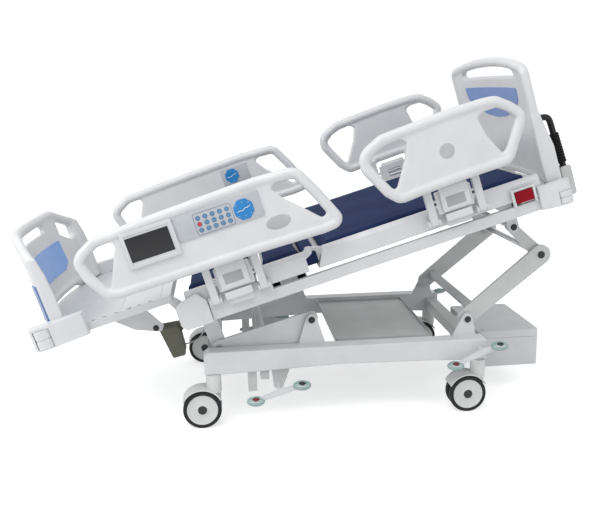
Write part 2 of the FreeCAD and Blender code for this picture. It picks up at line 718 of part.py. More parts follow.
def foot_section():
    """Pressed panel with a bowed end under the footboard and its two lift levers."""
    half = value("foot_half")
    u1 = value("foot_head_u")
    edge = value("footboard_u") - value("footboard_thick") + 2
    side_u = edge + value("footboard_bow")

    def outline(inset):
        return [
            Part.LineSegment(Vec(side_u + inset, half - inset, 0), Vec(u1 - inset, half - inset, 0)),
            Part.LineSegment(Vec(u1 - inset, half - inset, 0), Vec(u1 - inset, -half + inset, 0)),
            Part.LineSegment(Vec(u1 - inset, -half + inset, 0), Vec(side_u + inset, -half + inset, 0)),
            arc_through((side_u + inset, -half + inset), (edge + inset, 0), (side_u + inset, half - inset)),
        ]

    body = plate("XY_Plane", [outline(0)], "foot_top_w - foot_deep", "foot_deep")
    pocket(body, "XY_Plane", [outline(value("foot_sheet"))], "foot_top_w - foot_deep",
           "foot_deep - foot_sheet", True)
    seams = []
    for u in (-485, -640):
        seams.append(rectangle(u, u + 3, -half + 30, half - 30))
    pocket(body, "XY_Plane", seams, "foot_top_w", 1.5)
    items = [body]
    hu, hw = value("foot_hinge_u"), value("foot_hinge_w")
    tools = []
    for side, _ in SIDES:
        under = value("foot_top_w") - value("foot_sheet")
        lever = rounded([(-760, under), (-640, 588), (-545, 545), (-528, 566), (-600, under)],
                        [4, 12, 12, 8, 4])
        items.append(side_plate(side, [lever, ring(-560, 566, 6)], 296, 8))
        eye = rounded([(hu - 50, under), (hu - 14, hw - 14), (hu + 14, hw - 14), (hu + 14, hw + 14),
                       (hu - 20, under)], [3, 12, 12, 12, 3])
        items.append(side_plate(side, [eye], "side_inner_v - 21", 16))
        items.append(pin_across(side, "foot_hinge_u", "foot_hinge_w", 8, "side_inner_v - 15", 36))
        v = side * value("footboard_pin_v")
        u = board_centre_u("footboard", value("footboard_pin_v"))
        items.append(rod(u, v, "footboard_pin_w - 4", 18, "foot_top_w - footboard_pin_w + 2"))
        tools.append(rod(u, v, "footboard_pin_w", "board_pin_radius + run_fit", 60))
    keep(cut(fuse(items), tools), "foot_section", DECK)


# Soft pads
def cushion(name, points):
    half = value("pad_half")
    body = plate("XZ_Plane", [rounded(points, value("pad_round"))], "-pad_half", "2 * pad_half")
    round_edges(body, "pad_round - 2", lambda e: abs(e.BoundBox.YMax - e.BoundBox.YMin) < 0.01
                and abs(abs(e.BoundBox.YMax) - half) < 0.01)
    keep(body, name, DECK)


def cushions():
    low = value("floor_w") + value("floor_thick") + value("pad_gap")
    high = value("pad_top_w")
    cushion("thigh_pad", [(-388, low), (-127, low), (-127, high), (-388, high)])
    cushion("seat_pad", [(-95, low), (66, low), (66, high), (-95, high)])
    cushion("back_pad", [(124, low), (985, low), (985, high), (168, high)])


# Side rails
FOOT_SHELL = [
    (-713, 946), (-682, 980), (-620, 1013), (-398, 1025), (-27, 1037), (118, 1030), (150, 1012),
    (195, 928), (250, 800), (222, 768), (166, 764), (-115, 772), (-600, 774), (-647, 788), (-693, 868),
]
FOOT_HOLES = [
    [(-683, 941), (-634, 977), (-596, 990), (-556, 990), (-546, 958), (-571, 906), (-617, 807), (-645, 851)],
    [(21, 984), (52, 996), (121, 992), (138, 970), (187, 870), (204, 832), (174, 815), (123, 867), (57, 931)],
]
FOOT_PANEL = [(-528, 1003), (-15, 1008), (0, 960), (110, 858), (150, 806), (-565, 810), (-528, 915)]
HEAD_SHELL = [
    (355, 975), (381, 1007), (450, 1038), (686, 1050), (838, 1050), (894, 1044), (946, 1005), (992, 952),
    (970, 905), (896, 788), (730, 787), (555, 782), (456, 775), (412, 820), (355, 930),
]
HEAD_HOLES = [
    [(386, 957), (423, 986), (465, 1000), (522, 1005), (544, 984), (521, 924), (465, 832), (446, 830), (424, 862)],
    [(805, 992), (835, 1005), (888, 1005), (943, 963), (958, 932), (884, 839), (866, 833), (825, 911)],
]
HEAD_PANEL = [(578, 1014), (770, 1014), (800, 905), (838, 826), (520, 822), (562, 920)]
FOOT_STRAPS = (-288, -103)
HEAD_STRAPS = (570, 760)


def rail_shell(name, side, shell, holes, panel, straps, high, extra):
    """Moulded rail: rim, two hand openings, recessed middle and hinge cheeks inside."""
    body = new_body()
    loops = [rounded(shell, 26)]
    for hole in holes:
        loops.append(rounded(hole, 20))
    pad(body, "XZ_Plane", loops, across(side, "shell_inner_v", "shell_thick"), "shell_thick")
    inner = value("shell_inner_v")
    outer = inner + value("shell_thick")

    def on_face(e):
        flat = e.BoundBox.YMax - e.BoundBox.YMin < 0.01
        return flat and min(abs(abs(e.BoundBox.YMax) - inner), abs(abs(e.BoundBox.YMax) - outer)) < 0.01

    round_edges(body, "shell_round", on_face)
    face = "shell_inner_v + shell_thick"
    if side == NEAR:
        pocket(body, "XZ_Plane", [rounded(panel, 22)], face, "recess")
        pocket(body, "XZ_Plane", [rounded(panel, 22)], "shell_inner_v", "recess", True)
    else:
        pocket(body, "XZ_Plane", [rounded(panel, 22)], "-(%s)" % face, "recess", True)
        pocket(body, "XZ_Plane", [rounded(panel, 22)], "-shell_inner_v", "recess")
    if extra:
        extra(body)
    items = [body]
    for u in straps:
        for cheek_u in cheeks(u):
            v = value("strap_v")
            edge = rounded([(side * (v - 13), high - 13), (side * (inner + 6), high - 13),
                            (side * (inner + 6), high + 13), (side * (v - 13), high + 13)],
                           [11, 2, 2, 11])
            items.append(plate("YZ_Plane", [edge], cheek_u, "cheek"))
        span = strap_span()
        items.append(rod(u - span, side * value("strap_v"), high, "strap_hole", 2 * span, (1, 0, 0)))
    keep(fuse(items), name, DECK)


def strap_span():
    return value("strap_width") / 2 + value("cheek_gap") + value("cheek")


def cheeks(u):
    half = value("strap_width") / 2 + value("cheek_gap")
    return (u - half - value("cheek"), u + half)


def rail_arm(name, side, straps, low, high, window):
    """Two straps and the cross plate between them, turning on the deck cheeks."""
    items = []
    r = value("strap_round")
    v = side * value("strap_v")
    bore = value("strap_hole") + value("run_fit")
    for u in straps:
        edge = belt((v, low), r, (v, high), r)
        items.append(plate("YZ_Plane", [edge, ring(v, low, bore), ring(v, high, bore)],
                           u - value("strap_width") / 2, "strap_width"))
    mid = (low + high) / 2
    u0 = straps[0] + strap_span() + 2
    u1 = straps[1] - strap_span() - 2
    frame = rectangle(u0, u1, low + 26, high - 34, 6)
    hole = rectangle(window[0], window[1], mid - 22, mid + 14, 4)
    items.append(side_plate(side, [frame, hole], 494, 10))
    for z in (mid + 6, mid - 14):
        items.append(rod(straps[0], v, z, 5, straps[1] - straps[0], (1, 0, 0)))
    keep(fuse(items), name, DECK)


def rail_mount(side, straps, low, inner_v, plate_low, plate_high, ends):
    """Wall plate with a cheek pair and pin for each strap and the latch box between."""
    u0, u1 = ends
    items = [side_plate(side, [rectangle(u0, u1, plate_low, plate_high, 6)], inner_v, 6)]
    for u in straps:
        for cheek_u in cheeks(u):
            v = value("strap_v")
            edge = rounded([(side * (inner_v + 3), low - 20), (side * (v + 10), low - 11),
                            (side * (v + 12), low + 8), (side * (v - 6), low + 12),
                            (side * (inner_v + 3), low + 12)], [1, 9, 9, 6, 1])
            items.append(plate("YZ_Plane", [edge], cheek_u, "cheek"))
        span = strap_span()
        items.append(rod(u - span, side * value("strap_v"), low, "strap_hole", 2 * span, (1, 0, 0)))
    middle = sum(straps) / 2
    latch = rectangle(middle - 48, middle + 48, low - 30, low + 14, 8)
    items.append(side_plate(side, [latch], inner_v + 4, 26))
    return fuse(items)


def badge(body):
    """Bare oval plate near the head end of the near foot rail."""
    oval = Part.Ellipse(Vec(19, 859, 0), 46, 25)
    pad(body, "XZ_Plane", [[oval]], "shell_inner_v + shell_thick - recess - 1", 3)


def hub_disc(side):
    def add(body):
        start = "shell_inner_v + shell_thick - recess - 1"
        if side == FAR:
            start = "-(shell_inner_v + shell_thick - recess + 2)"
        pad(body, "XZ_Plane", [ring(671, 910, 28)], start, 3)
    return add


def rails():
    for side, name in SIDES:
        rail_shell("foot_rail_" + name, side, FOOT_SHELL, FOOT_HOLES, FOOT_PANEL, FOOT_STRAPS,
                   value("foot_strap_high_w"), badge if side == NEAR else None)
        rail_shell("head_rail_" + name, side, HEAD_SHELL, HEAD_HOLES, HEAD_PANEL, HEAD_STRAPS,
                   value("head_strap_high_w"), hub_disc(side))
        rail_arm("foot_rail_arm_" + name, side, FOOT_STRAPS, value("foot_strap_low_w"),
                 value("foot_strap_high_w"), (-232, -162))
        rail_arm("head_rail_arm_" + name, side, HEAD_STRAPS, value("head_strap_low_w"),
                 value("head_strap_high_w"), (634, 700))
    seat = []
    back = []
    for side, _ in SIDES:
        wall = value("side_inner_v") + value("side_thick")
        seat.append(rail_mount(side, FOOT_STRAPS, value("foot_strap_low_w"), wall, 570, 656,
                               (-318, -74)))
        back.append(rail_mount(side, HEAD_STRAPS, value("head_strap_low_w"), value("skirt_outer_v"),
                               630, 686, (540, 790)))
    keep(group(seat), "seat_rail_mounts", DECK)
    keep(group(back), "back_rail_mounts", DECK)


def control_panel():
    """Screen unit and membrane key plate on the outside of the near foot rail."""
    floor = "shell_inner_v + shell_thick - recess"
    screen = plate("XZ_Plane", [rectangle(-524, -336, 862, 994, 8)], floor, "recess")
    pocket(screen, "XZ_Plane", [rectangle(-514, -358, 882, 972, 3)], floor + " + recess", 2)
    keys = plate("XZ_Plane", [rectangle(-332, -18, 898, 992, 4)], floor, 4)
    dots = []
    for row in range(3):
        for column in range(5):
            dots.append(ring(-246 + 26.5 * column, 962 - 22 * row, 8))
    pad(keys, "XZ_Plane", dots, floor + " + 4", 1)
    eight = []
    for i in range(8):
        a = math.radians(22.5 + 45 * i)
        eight.append((-83 + 36 * math.cos(a), 942 + 38 * math.sin(a)))
    pad(keys, "XZ_Plane", [rounded(eight, 5)], floor + " + 4", 1)
    keep(group([screen, keys]), "control_panel", DECK)


# Head and foot boards
def board_radius(kind):
    bow = value(kind + "_bow")
    return (value("board_half") ** 2 + bow ** 2) / (2 * bow)


def board_centre_u(kind, v):
    """Mid-thickness u of a board at distance v from the middle."""
    radius = board_radius(kind)
    sag = radius - math.sqrt(radius ** 2 - v ** 2)
    if kind == "headboard":
        return value("headboard_u") - sag + value("headboard_thick") / 2
    return value("footboard_u") + sag - value("footboard_thick") / 2


def board_slab(kind, near_face, thick, low, high, half):
    """Bowed slab: the board's inner face moved by near_face, thick deep."""
    radius = board_radius(kind)
    out = 1 if kind == "headboard" else -1
    face = value(kind + "_u")
    centre = face - out * radius

    def at(r, v):
        return (centre + out * math.sqrt(r * r - v * v), v)

    r0 = radius + near_face
    r1 = r0 + thick
    loop = [
        arc_through(at(r0, -half), at(r0, 0), at(r0, half)),
        Part.LineSegment(Vec(*at(r0, half), 0), Vec(*at(r1, half), 0)),
        arc_through(at(r1, half), at(r1, 0), at(r1, -half)),
        Part.LineSegment(Vec(*at(r1, -half), 0), Vec(*at(r0, -half), 0)),
    ]
    return plate("XY_Plane", [loop], low, high - low)


def arch(half, low, top_side, top_mid):
    """Elevation outline with an arched top edge."""
    return [
        Part.LineSegment(Vec(half, top_side, 0), Vec(half, low, 0)),
        Part.LineSegment(Vec(half, low, 0), Vec(-half, low, 0)),
        Part.LineSegment(Vec(-half, low, 0), Vec(-half, top_side, 0)),
        arc_through((-half, top_side), (0, top_mid), (half, top_side)),
    ]


def elevation(loops, u0, u1, corner, pick):
    body = plate("YZ_Plane", loops, u0, u1 - u0)
    if corner:
        round_edges(body, corner, pick)
    return body


def board(kind, loops, span, corner_radius, corner_z):
    low = span[2]

    def upright(e):
        box_ = e.BoundBox
        return box_.XLength > 20 and box_.YLength < 0.01 and corner_z[0] < box_.ZMin < corner_z[1] \
            and abs(box_.YMin) > 440

    face = elevation(loops, span[0], span[1], corner_radius, upright)
    slab = board_slab(kind, 0, value(kind + "_thick"), low - 5, 1200, value("board_half") + 1)
    return common(face, slab)


def headboard():
    half = value("board_half")
    low = value("headboard_bottom_w")
    slot = rounded([(-310, 1058), (310, 1058), (300, 1100), (150, 1112), (-150, 1112), (-300, 1100)],
                   [20, 20, 20, 200, 200, 20])
    body = board("headboard", [arch(half, low, 1098, 1142), slot], (1000, 1120, low), 40,
                 (1000, 1150))
    items = [body]
    for side, _ in SIDES:
        v = value("headboard_pin_v")
        u = board_centre_u("headboard", v)
        items.append(rod(u, side * v, "headboard_pin_w", "board_pin_radius",
                         "headboard_bottom_w - headboard_pin_w + 5"))
        items.append(rod(u, side * v, "head_bar_top_w", "board_pin_radius + 8",
                         "headboard_bottom_w - head_bar_top_w + 1"))
    keep(fuse(items), "headboard", DECK)
    insert = [
        Part.LineSegment(Vec(-308, 1012, 0), Vec(-308, 960, 0)),
        arc_through((-308, 960), (0, 900), (308, 960)),
        Part.LineSegment(Vec(308, 960, 0), Vec(308, 1012, 0)),
        arc_through((308, 1012), (0, 1026), (-308, 1012)),
    ]
    face = plate("YZ_Plane", [insert], 1000, 120)
    slab = board_slab("headboard", -value("insert_thick"), value("insert_thick"), 880, 1050, 400)
    keep(common(face, slab), "headboard_insert", DECK)


def footboard():
    half = value("board_half")
    low = value("foot_top_w")

    def above(points):
        return [(v, low + rise) for v, rise in points]

    slot = rounded(above([(-242, 318), (242, 318), (236, 354), (0, 364), (-236, 354)]),
                   [16, 16, 16, 300, 16])
    loops = [arch(half, low, low + 297, low + 406), slot]
    for s in (-1, 1):
        loops.append(rounded(above([(s * 267, 286), (s * 267, 343), (s * 350, 320), (s * 411, 288),
                                    (s * 411, 206), (s * 330, 244)]), [14, 14, 40, 16, 16, 30]))
    body = board("footboard", loops, (-1040, -800, low), 44, (low + 194, low + 344))
    items = [body]
    for side, _ in SIDES:
        v = value("footboard_pin_v")
        u = board_centre_u("footboard", v)
        items.append(rod(u, side * v, "footboard_pin_w + 1", "board_pin_radius",
                         "foot_top_w - footboard_pin_w + 4"))
    keep(fuse(items), "footboard", DECK)
    shape = above([(-232, 254), (232, 254), (226, 174), (190, 139), (-190, 139), (-226, 174)])
    face = plate("YZ_Plane", [rounded(shape, [12, 12, 30, 30, 30, 30])], -1040, 240)
    slab = board_slab("footboard", -value("insert_thick"), value("insert_thick"), low + 124, low + 274, 300)
    keep(common(face, slab), "footboard_insert", DECK)


# Corner covers and bumper rollers
def corner_cover(side, outline, low, high, roller):
    u, bottom, height, radius = roller
    points = [(a, side * b) for a, b in outline]
    shell = plate("XY_Plane", [rounded(points, 10)], low, high - low)
    v = side * value("roller_v")
    room = rod(u, v, bottom - 1, radius + value("roller_gap"), height + 2)
    pin = rod(u, v, bottom - 3, "roller_pin", height + 6)
    return fuse([cut(shell, [room]), pin])


def corner_covers():
    foot = []
    head = []
    foot_roller = (value("foot_roller_u"), value("foot_roller_bottom"), value("foot_roller_height"),
                   value("foot_roller_radius"))
    head_roller = (value("head_roller_u"), value("head_roller_bottom"), value("head_roller_height"),
                   value("head_roller_radius"))
    for side, name in SIDES:
        inner = value("foot_half")
        foot.append(corner_cover(side, [(-958, inner), (-958, 500), (-935, 514), (-880, 514), (-760, 488),
                                        (-760, inner)], 673, 758, foot_roller))
        wall = value("side_inner_v") + value("side_thick")
        head.append(corner_cover(side, [(986, wall), (986, 486), (1040, 512), (1092, 514), (1106, 500),
                                        (1106, wall)], 566, 658, head_roller))
        for kind, roller in (("foot", foot_roller), ("head", head_roller)):
            u, bottom, height, radius = roller
            v = side * value("roller_v")
            tyre = rod(u, v, bottom, radius, height)
            bore = rod(u, v, bottom - 1, "roller_pin + run_fit", height + 2)
            grooves = [bore]
            band = doc.addObject("Part::Torus", "groove")
            band.Radius1 = radius
            band.Radius2 = 3
            band.Placement.Base = Vec(u, v, bottom + height / 2)
            grooves.append(band)
            keep(cut(tyre, grooves), "bumper_roller_%s_%s" % (kind, name), DECK)
    keep(group(foot), "foot_corner_covers", DECK)
    keep(group(head), "head_corner_covers", DECK)


# Push handles
def push_handle(side, name):
    v = side * value("push_v")
    path = [(1165, 652), (1165, 735), (1158, 790), (1127, 861), (1112, 905)]
    wire = smooth_wire([Vec(u, v, w) for u, w in path], 0.45)
    radius = value("grip_radius")
    grip = doc.addObject("Part::Feature", "grip")
    grip.Shape = tube(wire, radius)
    eye = rod("push_pivot_u", v - 13, "push_pivot_w", 20, 26, (0, 1, 0))
    bore = rod("push_pivot_u", v - 15, "push_pivot_w", "push_pin_radius + run_fit", 30, (0, 1, 0))
    tip = doc.addObject("Part::Sphere", "tip")
    tip.Radius = radius
    tip.Placement.Base = Vec(1112, v, 905)
    keep(cut(fuse([grip, eye, tip]), [bore]), "push_handle_" + name, DECK)


def smooth_wire(points, share):
    """Straight runs joined by tangent arcs; prints each bend radius."""
    edges = []
    start = points[0]
    for i in range(1, len(points) - 1):
        here = points[i]
        back = points[i - 1] - here
        ahead = points[i + 1] - here
        turn = math.pi - back.getAngle(ahead)
        run = min(back.Length, ahead.Length)
        reach = share * run
        radius = reach / math.tan(turn / 2)
        back.normalize()
        ahead.normalize()
        first = here + back * reach
        last = here + ahead * reach
        inward = back + ahead
        inward.normalize()
        middle = here + inward * (radius / math.cos(turn / 2) - radius)
        print("bend radius %.1f run %.1f" % (radius, run))
        if (first - start).Length > 1e-6:
            edges.append(Part.LineSegment(start, first).toShape())
        edges.append(Part.Arc(first, middle, last).toShape())
        start = last
    edges.append(Part.LineSegment(start, points[-1]).toShape())
    return Part.Wire(edges)


def tube(wire, radius):
    first = wire.Edges[0]
    at = first.valueAt(first.FirstParameter)
    direction = first.tangentAt(first.FirstParameter)
    circle = Part.Wire([Part.makeCircle(radius, at, direction)])
    return wire.makePipeShell([circle], True, False)


# Release handles, knee motor and its cable
def cpr_handle(side, name):
    u, length = value("cpr_u"), value("cpr_length")
    v = value("cpr_pivot_v")
    w = value("cpr_pivot_w")
    low = [(side * (v - 4), w - 4), (side * (v + 4), w - 4), (side * (v + 5), w + 8),
           (side * (v + 3), value("cpr_top_w")), (side * (v - 3), value("cpr_top_w")),
           (side * (v - 5), w + 8)]
    flap = plate("YZ_Plane", [rounded(low, [3, 3, 3, 2, 2, 3])], u + 2, length - 4)
    pivot = rod(u - 8, side * v, w, 2.5, length + 16, (1, 0, 0))
    keep(fuse([flap, pivot]), "cpr_handle_" + name, DECK)


def knee_motor():
    outline = rounded([(-561, 540), (-547, 410), (-495, 407), (-485, 529)], 8)
    case = plate("XZ_Plane", [outline], 160, 90)
    tube_ = doc.addObject("Part::Feature", "spindle_tube")
    start = Vec(-508, -205, 500)
    stop = Vec(-376, -205, 590)
    tube_.Shape = Part.makeCylinder(18, (stop - start).Length, start, stop - start)
    keep(cut(fuse([case, tube_]), [box(-380, -260, 540, 60, 120, 80)]), "knee_motor", DECK)


def motor_cable():
    v = -205
    points = [(-372, 565.8), (-372, 520), (-400, 460), (-440, 425), (-492.5, 430)]
    wire = smooth_wire([Vec(u, v + 25, w) for u, w in points], 0.45)
    item = doc.addObject("Part::Feature", "cable")
    item.Shape = tube(wire, value("cable_radius"))
    print("cable length %.1f" % wire.Length)
    keep(item, "motor_cable", DECK)


# Build order
for side, name in SIDES:
    base_rail(side, name)
base_cross_members()
base_tray()
power_box()
arm_brackets()
pedal_hangers()
for side, name in SIDES:
    caster(side, -value("wheel_x"), "foot_" + name)
    caster(side, value("wheel_x"), "head_" + name)
brake_pedal("brake_pedal_foot", value("foot_pedal_x"), value("foot_pedal_z"), ((-325, 118), (-146, 172)),
            "pedal_y_foot")
brake_pedal("brake_pedal_head", value("head_pedal_x"), value("head_pedal_z"), ((470, 204), (648, 277)),
            "pedal_y")
lift_arm("foot_lift_arm", FOOT_PIVOT, 28, FOOT_KNEE, 26, 0.55, FOOT_ARM_BELLY)
knee_rod("foot_knee_rod", FOOT_KNEE)
lift_arm("head_lift_arm", HEAD_PIVOT, 34, HEAD_KNEE, 40, 0.12)
knee_rod("head_knee_rod", HEAD_KNEE)
head_link()
for side, name in SIDES:
    deck_side(side, name)
deck_cross_members()
deck_lift_brackets()
sections()
foot_section()
cushions()
rails()
control_panel()
headboard()
footboard()
corner_covers()
for side, name in SIDES:
    push_handle(side, name)
    cpr_handle(side, name)
knee_motor()
motor_cable()
doc.recompute()

# Checks, origin at the middle of the footprint, and one file for each node
for item in doc.Objects:
    if "Invalid" in item.State or "Error" in item.State:
        print("state", item.Name, item.Label, item.State)
total = FreeCAD.BoundBox()
for item in nodes:
    if item.Shape.isNull() or not item.Shape.isValid():
        raise ValueError("bad shape " + item.Label)
    total.add(item.Shape.optimalBoundingBox(False))
shift = Vec(-(total.XMin + total.XMax) / 2, -(total.YMin + total.YMax) / 2, -total.ZMin)
print("shift %.3f %.3f %.3f" % (shift.x, shift.y, shift.z))
print("size %.1f %.1f %.1f" % (total.XLength, total.YLength, total.ZLength))
for item in nodes:
    item.Placement = FreeCAD.Placement(shift, FreeCAD.Rotation()).multiply(item.Placement)
doc.recompute()
for item in nodes:
    item.Shape.exportStep("parts/%s.step" % item.Label)
    print("%-26s solids %d volume %.0f" % (item.Label, len(item.Shape.Solids), item.Shape.Volume))
print(len(nodes), "nodes")
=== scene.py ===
# %% [markdown]
# # An electric hospital bed, dressed in Blender
# The bed arrives as a finished frame of steel and plastic parts. This lesson adds what a camera
# sees: the blow-moulded side rails, the soft pads, the wheels, the keys and every surface finish.
# The frame is loaded first.

# %% Load the frame
import math
import bpy
import bmesh
from mathutils import Matrix, Vector


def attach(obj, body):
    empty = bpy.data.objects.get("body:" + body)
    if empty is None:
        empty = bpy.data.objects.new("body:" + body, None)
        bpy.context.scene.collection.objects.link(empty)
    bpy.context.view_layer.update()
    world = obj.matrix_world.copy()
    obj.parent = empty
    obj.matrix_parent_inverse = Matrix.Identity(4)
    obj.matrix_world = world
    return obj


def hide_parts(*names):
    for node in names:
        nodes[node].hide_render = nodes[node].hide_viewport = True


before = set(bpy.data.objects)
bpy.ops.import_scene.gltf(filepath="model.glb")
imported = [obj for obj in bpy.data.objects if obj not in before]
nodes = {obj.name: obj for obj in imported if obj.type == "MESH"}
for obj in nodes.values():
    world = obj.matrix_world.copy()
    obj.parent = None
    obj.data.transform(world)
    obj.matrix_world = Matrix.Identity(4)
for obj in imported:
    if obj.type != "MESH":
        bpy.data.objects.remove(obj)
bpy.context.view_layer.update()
print("frame nodes:", len(nodes))

# %% [markdown]
# Most of the bed lies in the plane of the tilted deck. It is easier to model those pieces on a
# level deck, in millimetres along it (u), across it (v) and square to it (w), and to tip them
# into place at the end. One matrix does that for every piece of the deck, and a second one only
# shifts what stands on the floor.

# %% Deck plane and small helpers
MM = 0.001
SHIFT = Vector((0.147156, 0.0, 0.0))
TILT = math.radians(16.7)
DECK = Matrix.Translation(SHIFT) @ Matrix.Rotation(-TILT, 4, "Y")
FLOOR = Matrix.Translation(SHIFT)
SIDES = ((-1, "near"), (1, "far"))


def deck_point(u, v, w):
    return DECK @ Vector((u * MM, v * MM, w * MM))


def deselect():
    if bpy.context.object and bpy.context.object.mode != "OBJECT":
        bpy.ops.object.mode_set(mode="OBJECT")
    bpy.ops.object.select_all(action="DESELECT")


def pick(*pieces):
    deselect()
    for piece in pieces:
        piece.select_set(True)
    bpy.context.view_layer.objects.active = pieces[0]


def joined(*pieces):
    """Join the pieces into the first of them."""
    pick(*pieces)
    bpy.ops.object.join()
    return pieces[0]


def copied(piece):
    """A copy of the piece with a mesh of its own."""
    copy = piece.copy()
    copy.data = piece.data.copy()
    bpy.context.collection.objects.link(copy)
    return copy


def modifier(piece, kind, **settings):
    """Add a modifier, set it, and apply it straight away."""
    pick(piece)
    item = piece.modifiers.new(kind.lower(), kind)
    for key, setting in settings.items():
        setattr(item, key, setting)
    bpy.ops.object.modifier_apply(modifier=item.name)


def settle(piece, name, place, body, finish, smooth=40):
    """Put the piece in the bed's frame, name it, give it its finish and let it ride."""
    pick(piece)
    bpy.ops.object.transform_apply(location=True, rotation=True, scale=True)
    piece.data.transform(place)
    piece.name = name
    piece.data.name = name
    piece.data.materials.clear()
    piece.data.materials.append(finish)
    bpy.ops.object.shade_smooth_by_angle(angle=math.radians(smooth))
    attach(piece, body)
    print(name, len(piece.data.polygons), "faces")
    return piece


# %% [markdown]
# ## The camera
# The photograph was taken from the near side, a little above the deck and close to the foot end.
# The lens and the place were solved from the wheels, the boards and the rails, so the frame of
# 600 by 506 pixels shows the same view, with a small shift of the lens.

# %% Camera
PIXELS = 600
PICTURE_MIDDLE = (300, 253)
LENS_CENTRE = (316.7, 256.4)
FOCAL = 793.2
YAW, PITCH, ROLL = 0.122, -0.2101, -0.01399
EYE = (-434.2, -3334.1, 1293.4)
forward = Vector((math.sin(YAW) * math.cos(PITCH), math.cos(YAW) * math.cos(PITCH), math.sin(PITCH)))
level = Vector((math.cos(YAW), -math.sin(YAW), 0))
upward = level.cross(forward)
right = level * math.cos(ROLL) + upward * math.sin(ROLL)
top = upward * math.cos(ROLL) - level * math.sin(ROLL)
lens = bpy.data.cameras.new("photo_camera")
lens.sensor_width = 36
lens.lens = FOCAL * lens.sensor_width / PIXELS
lens.shift_x = -(LENS_CENTRE[0] - PICTURE_MIDDLE[0]) / PIXELS
lens.shift_y = (LENS_CENTRE[1] - PICTURE_MIDDLE[1]) / PIXELS
lens.clip_end = 50
camera = bpy.data.objects.new("photo_camera", lens)
bpy.context.collection.objects.link(camera)
eye = Vector(EYE) * MM + SHIFT
camera.matrix_world = Matrix((
    (right.x, top.x, -forward.x, eye.x),
    (right.y, top.y, -forward.y, eye.y),
    (right.z, top.z, -forward.z, eye.z),
    (0, 0, 0, 1),
))
bpy.context.scene.camera = camera
bpy.context.scene.view_settings.view_transform = "Standard"
print("lens", round(lens.lens, 2), "mm")

# %% [markdown]
# ## Finishes
# Each finish is built from a Principled shader and a few texture nodes. Colours are written as
# hex values, as a paint chart gives them, and turned to linear light. One function adds a node
# with its settings and its links.

# %% Colour and node helpers


def linear(code):
    """Linear colour from an sRGB hex value such as c8ccd0."""
    channels = [int(code[i:i + 2], 16) / 255 for i in (0, 2, 4)]
    low = [c / 12.92 if c <= 0.04045 else ((c + 0.055) / 1.055) ** 2.4 for c in channels]
    return (*low, 1.0)


def add_node(tree, kind, settings=None, inputs=None):
    """Add a node; inputs are plain values or (node, output) links."""
    node = tree.nodes.new(kind)
    for key, setting in (settings or {}).items():
        setattr(node, key, setting)
    for key, source in (inputs or {}).items():
        if isinstance(source, tuple) and len(source) == 2 and hasattr(source[0], "outputs"):
            tree.links.new(source[0].outputs[source[1]], node.inputs[key])
        else:
            node.inputs[key].default_value = source
    return node


def new_finish(name):
    finish = bpy.data.materials.new(name)
    finish.use_nodes = True
    tree = finish.node_tree
    tree.nodes.clear()
    return finish, tree


def close_finish(tree, shader):
    add_node(tree, "ShaderNodeOutputMaterial", inputs={"Surface": (shader, 0)})


def two_tone(tree, noise, dark, light, light_from):
    """A ramp from the dark to the light colour over the middle of a noise."""
    ramp = add_node(tree, "ShaderNodeValToRGB", inputs={"Fac": (noise, 0)})
    for stop, position, code in zip(ramp.color_ramp.elements, (0.3, light_from), (dark, light)):
        stop.position = position
        stop.color = linear(code)
    return ramp


# %% Grained finish
MOTTLE_MM = 90
GRAIN_DEPTH = 0.3


def grain_finish(name, light, dark, rough, grain_mm, relief, metal=0.0, coat=0.0, gleam=0.5):
    """A solid colour with slow mottling, fine grain in the roughness and relief."""
    finish, tree = new_finish(name)
    where = add_node(tree, "ShaderNodeTexCoord")
    slow = add_node(tree, "ShaderNodeTexNoise", inputs={
        "Vector": (where, "Object"), "Scale": 1000 / MOTTLE_MM, "Detail": 3.0, "Roughness": 0.55})
    fine = add_node(tree, "ShaderNodeTexNoise", inputs={
        "Vector": (where, "Object"), "Scale": 1000 / grain_mm, "Detail": 2.0, "Roughness": 0.6})
    colour = two_tone(tree, slow, dark, light, 0.7)
    gloss = add_node(tree, "ShaderNodeMapRange", inputs={
        "Value": (fine, 0), "To Min": rough - 0.05, "To Max": rough + 0.06})
    bump = add_node(tree, "ShaderNodeBump", inputs={
        "Height": (fine, 0), "Strength": relief, "Distance": grain_mm * MM * GRAIN_DEPTH})
    shader = add_node(tree, "ShaderNodeBsdfPrincipled", inputs={
        "Base Color": (colour, 0), "Roughness": (gloss, 0), "Normal": (bump, 0), "Metallic": metal,
        "Coat Weight": coat, "Coat Roughness": 0.15, "Specular IOR Level": gleam})
    close_finish(tree, shader)
    return finish


# %% [markdown]
# The rails and boards are blow-moulded polyethylene: off-white, softly shining, with a faint
# pebble grain about a millimetre wide. The steel is powder coated, which leaves a finer, glossier
# orange peel. The cross members, the tray and the head arm under the deck are coated in a
# slightly darker grey.

# %% Plastics and coated steel
white_shell = grain_finish("blow_moulded_polyethylene", "d3d4d5", "cdced0", 0.36, 1.2, 0.06)
white_cover = grain_finish("moulded_abs_cover", "d3d4d6", "cdcfd1", 0.36, 1.0, 0.05)
white_steel = grain_finish("white_powder_coated_steel", "d0d1d3", "c9cbcd", 0.34, 0.8, 0.07)
grey_steel = grain_finish("grey_powder_coated_steel", "c3c5c4", "b9bbba", 0.42, 0.8, 0.08)
# The knee motor's case is grey polyamide, painted a dark olive grey that is partly painted shade from
# under the deck.
motor_case = grain_finish("grey_moulded_polyamide", "676759", "5d5d50", 0.5, 1.1, 0.1, gleam=0.3)
box_shell = grain_finish("light_grey_abs_box", "cbcdcf", "c5c7c9", 0.4, 1.0, 0.08)
print(len(bpy.data.materials), "finishes so far")

# %% [markdown]
# The coloured parts are few: blue laminate in the boards, red flaps, black treads and handles,
# and grey-green rubber on the pedals. The wheel discs are chalky nylon, and zinc plate on rods
# and pins is the one bare metal.

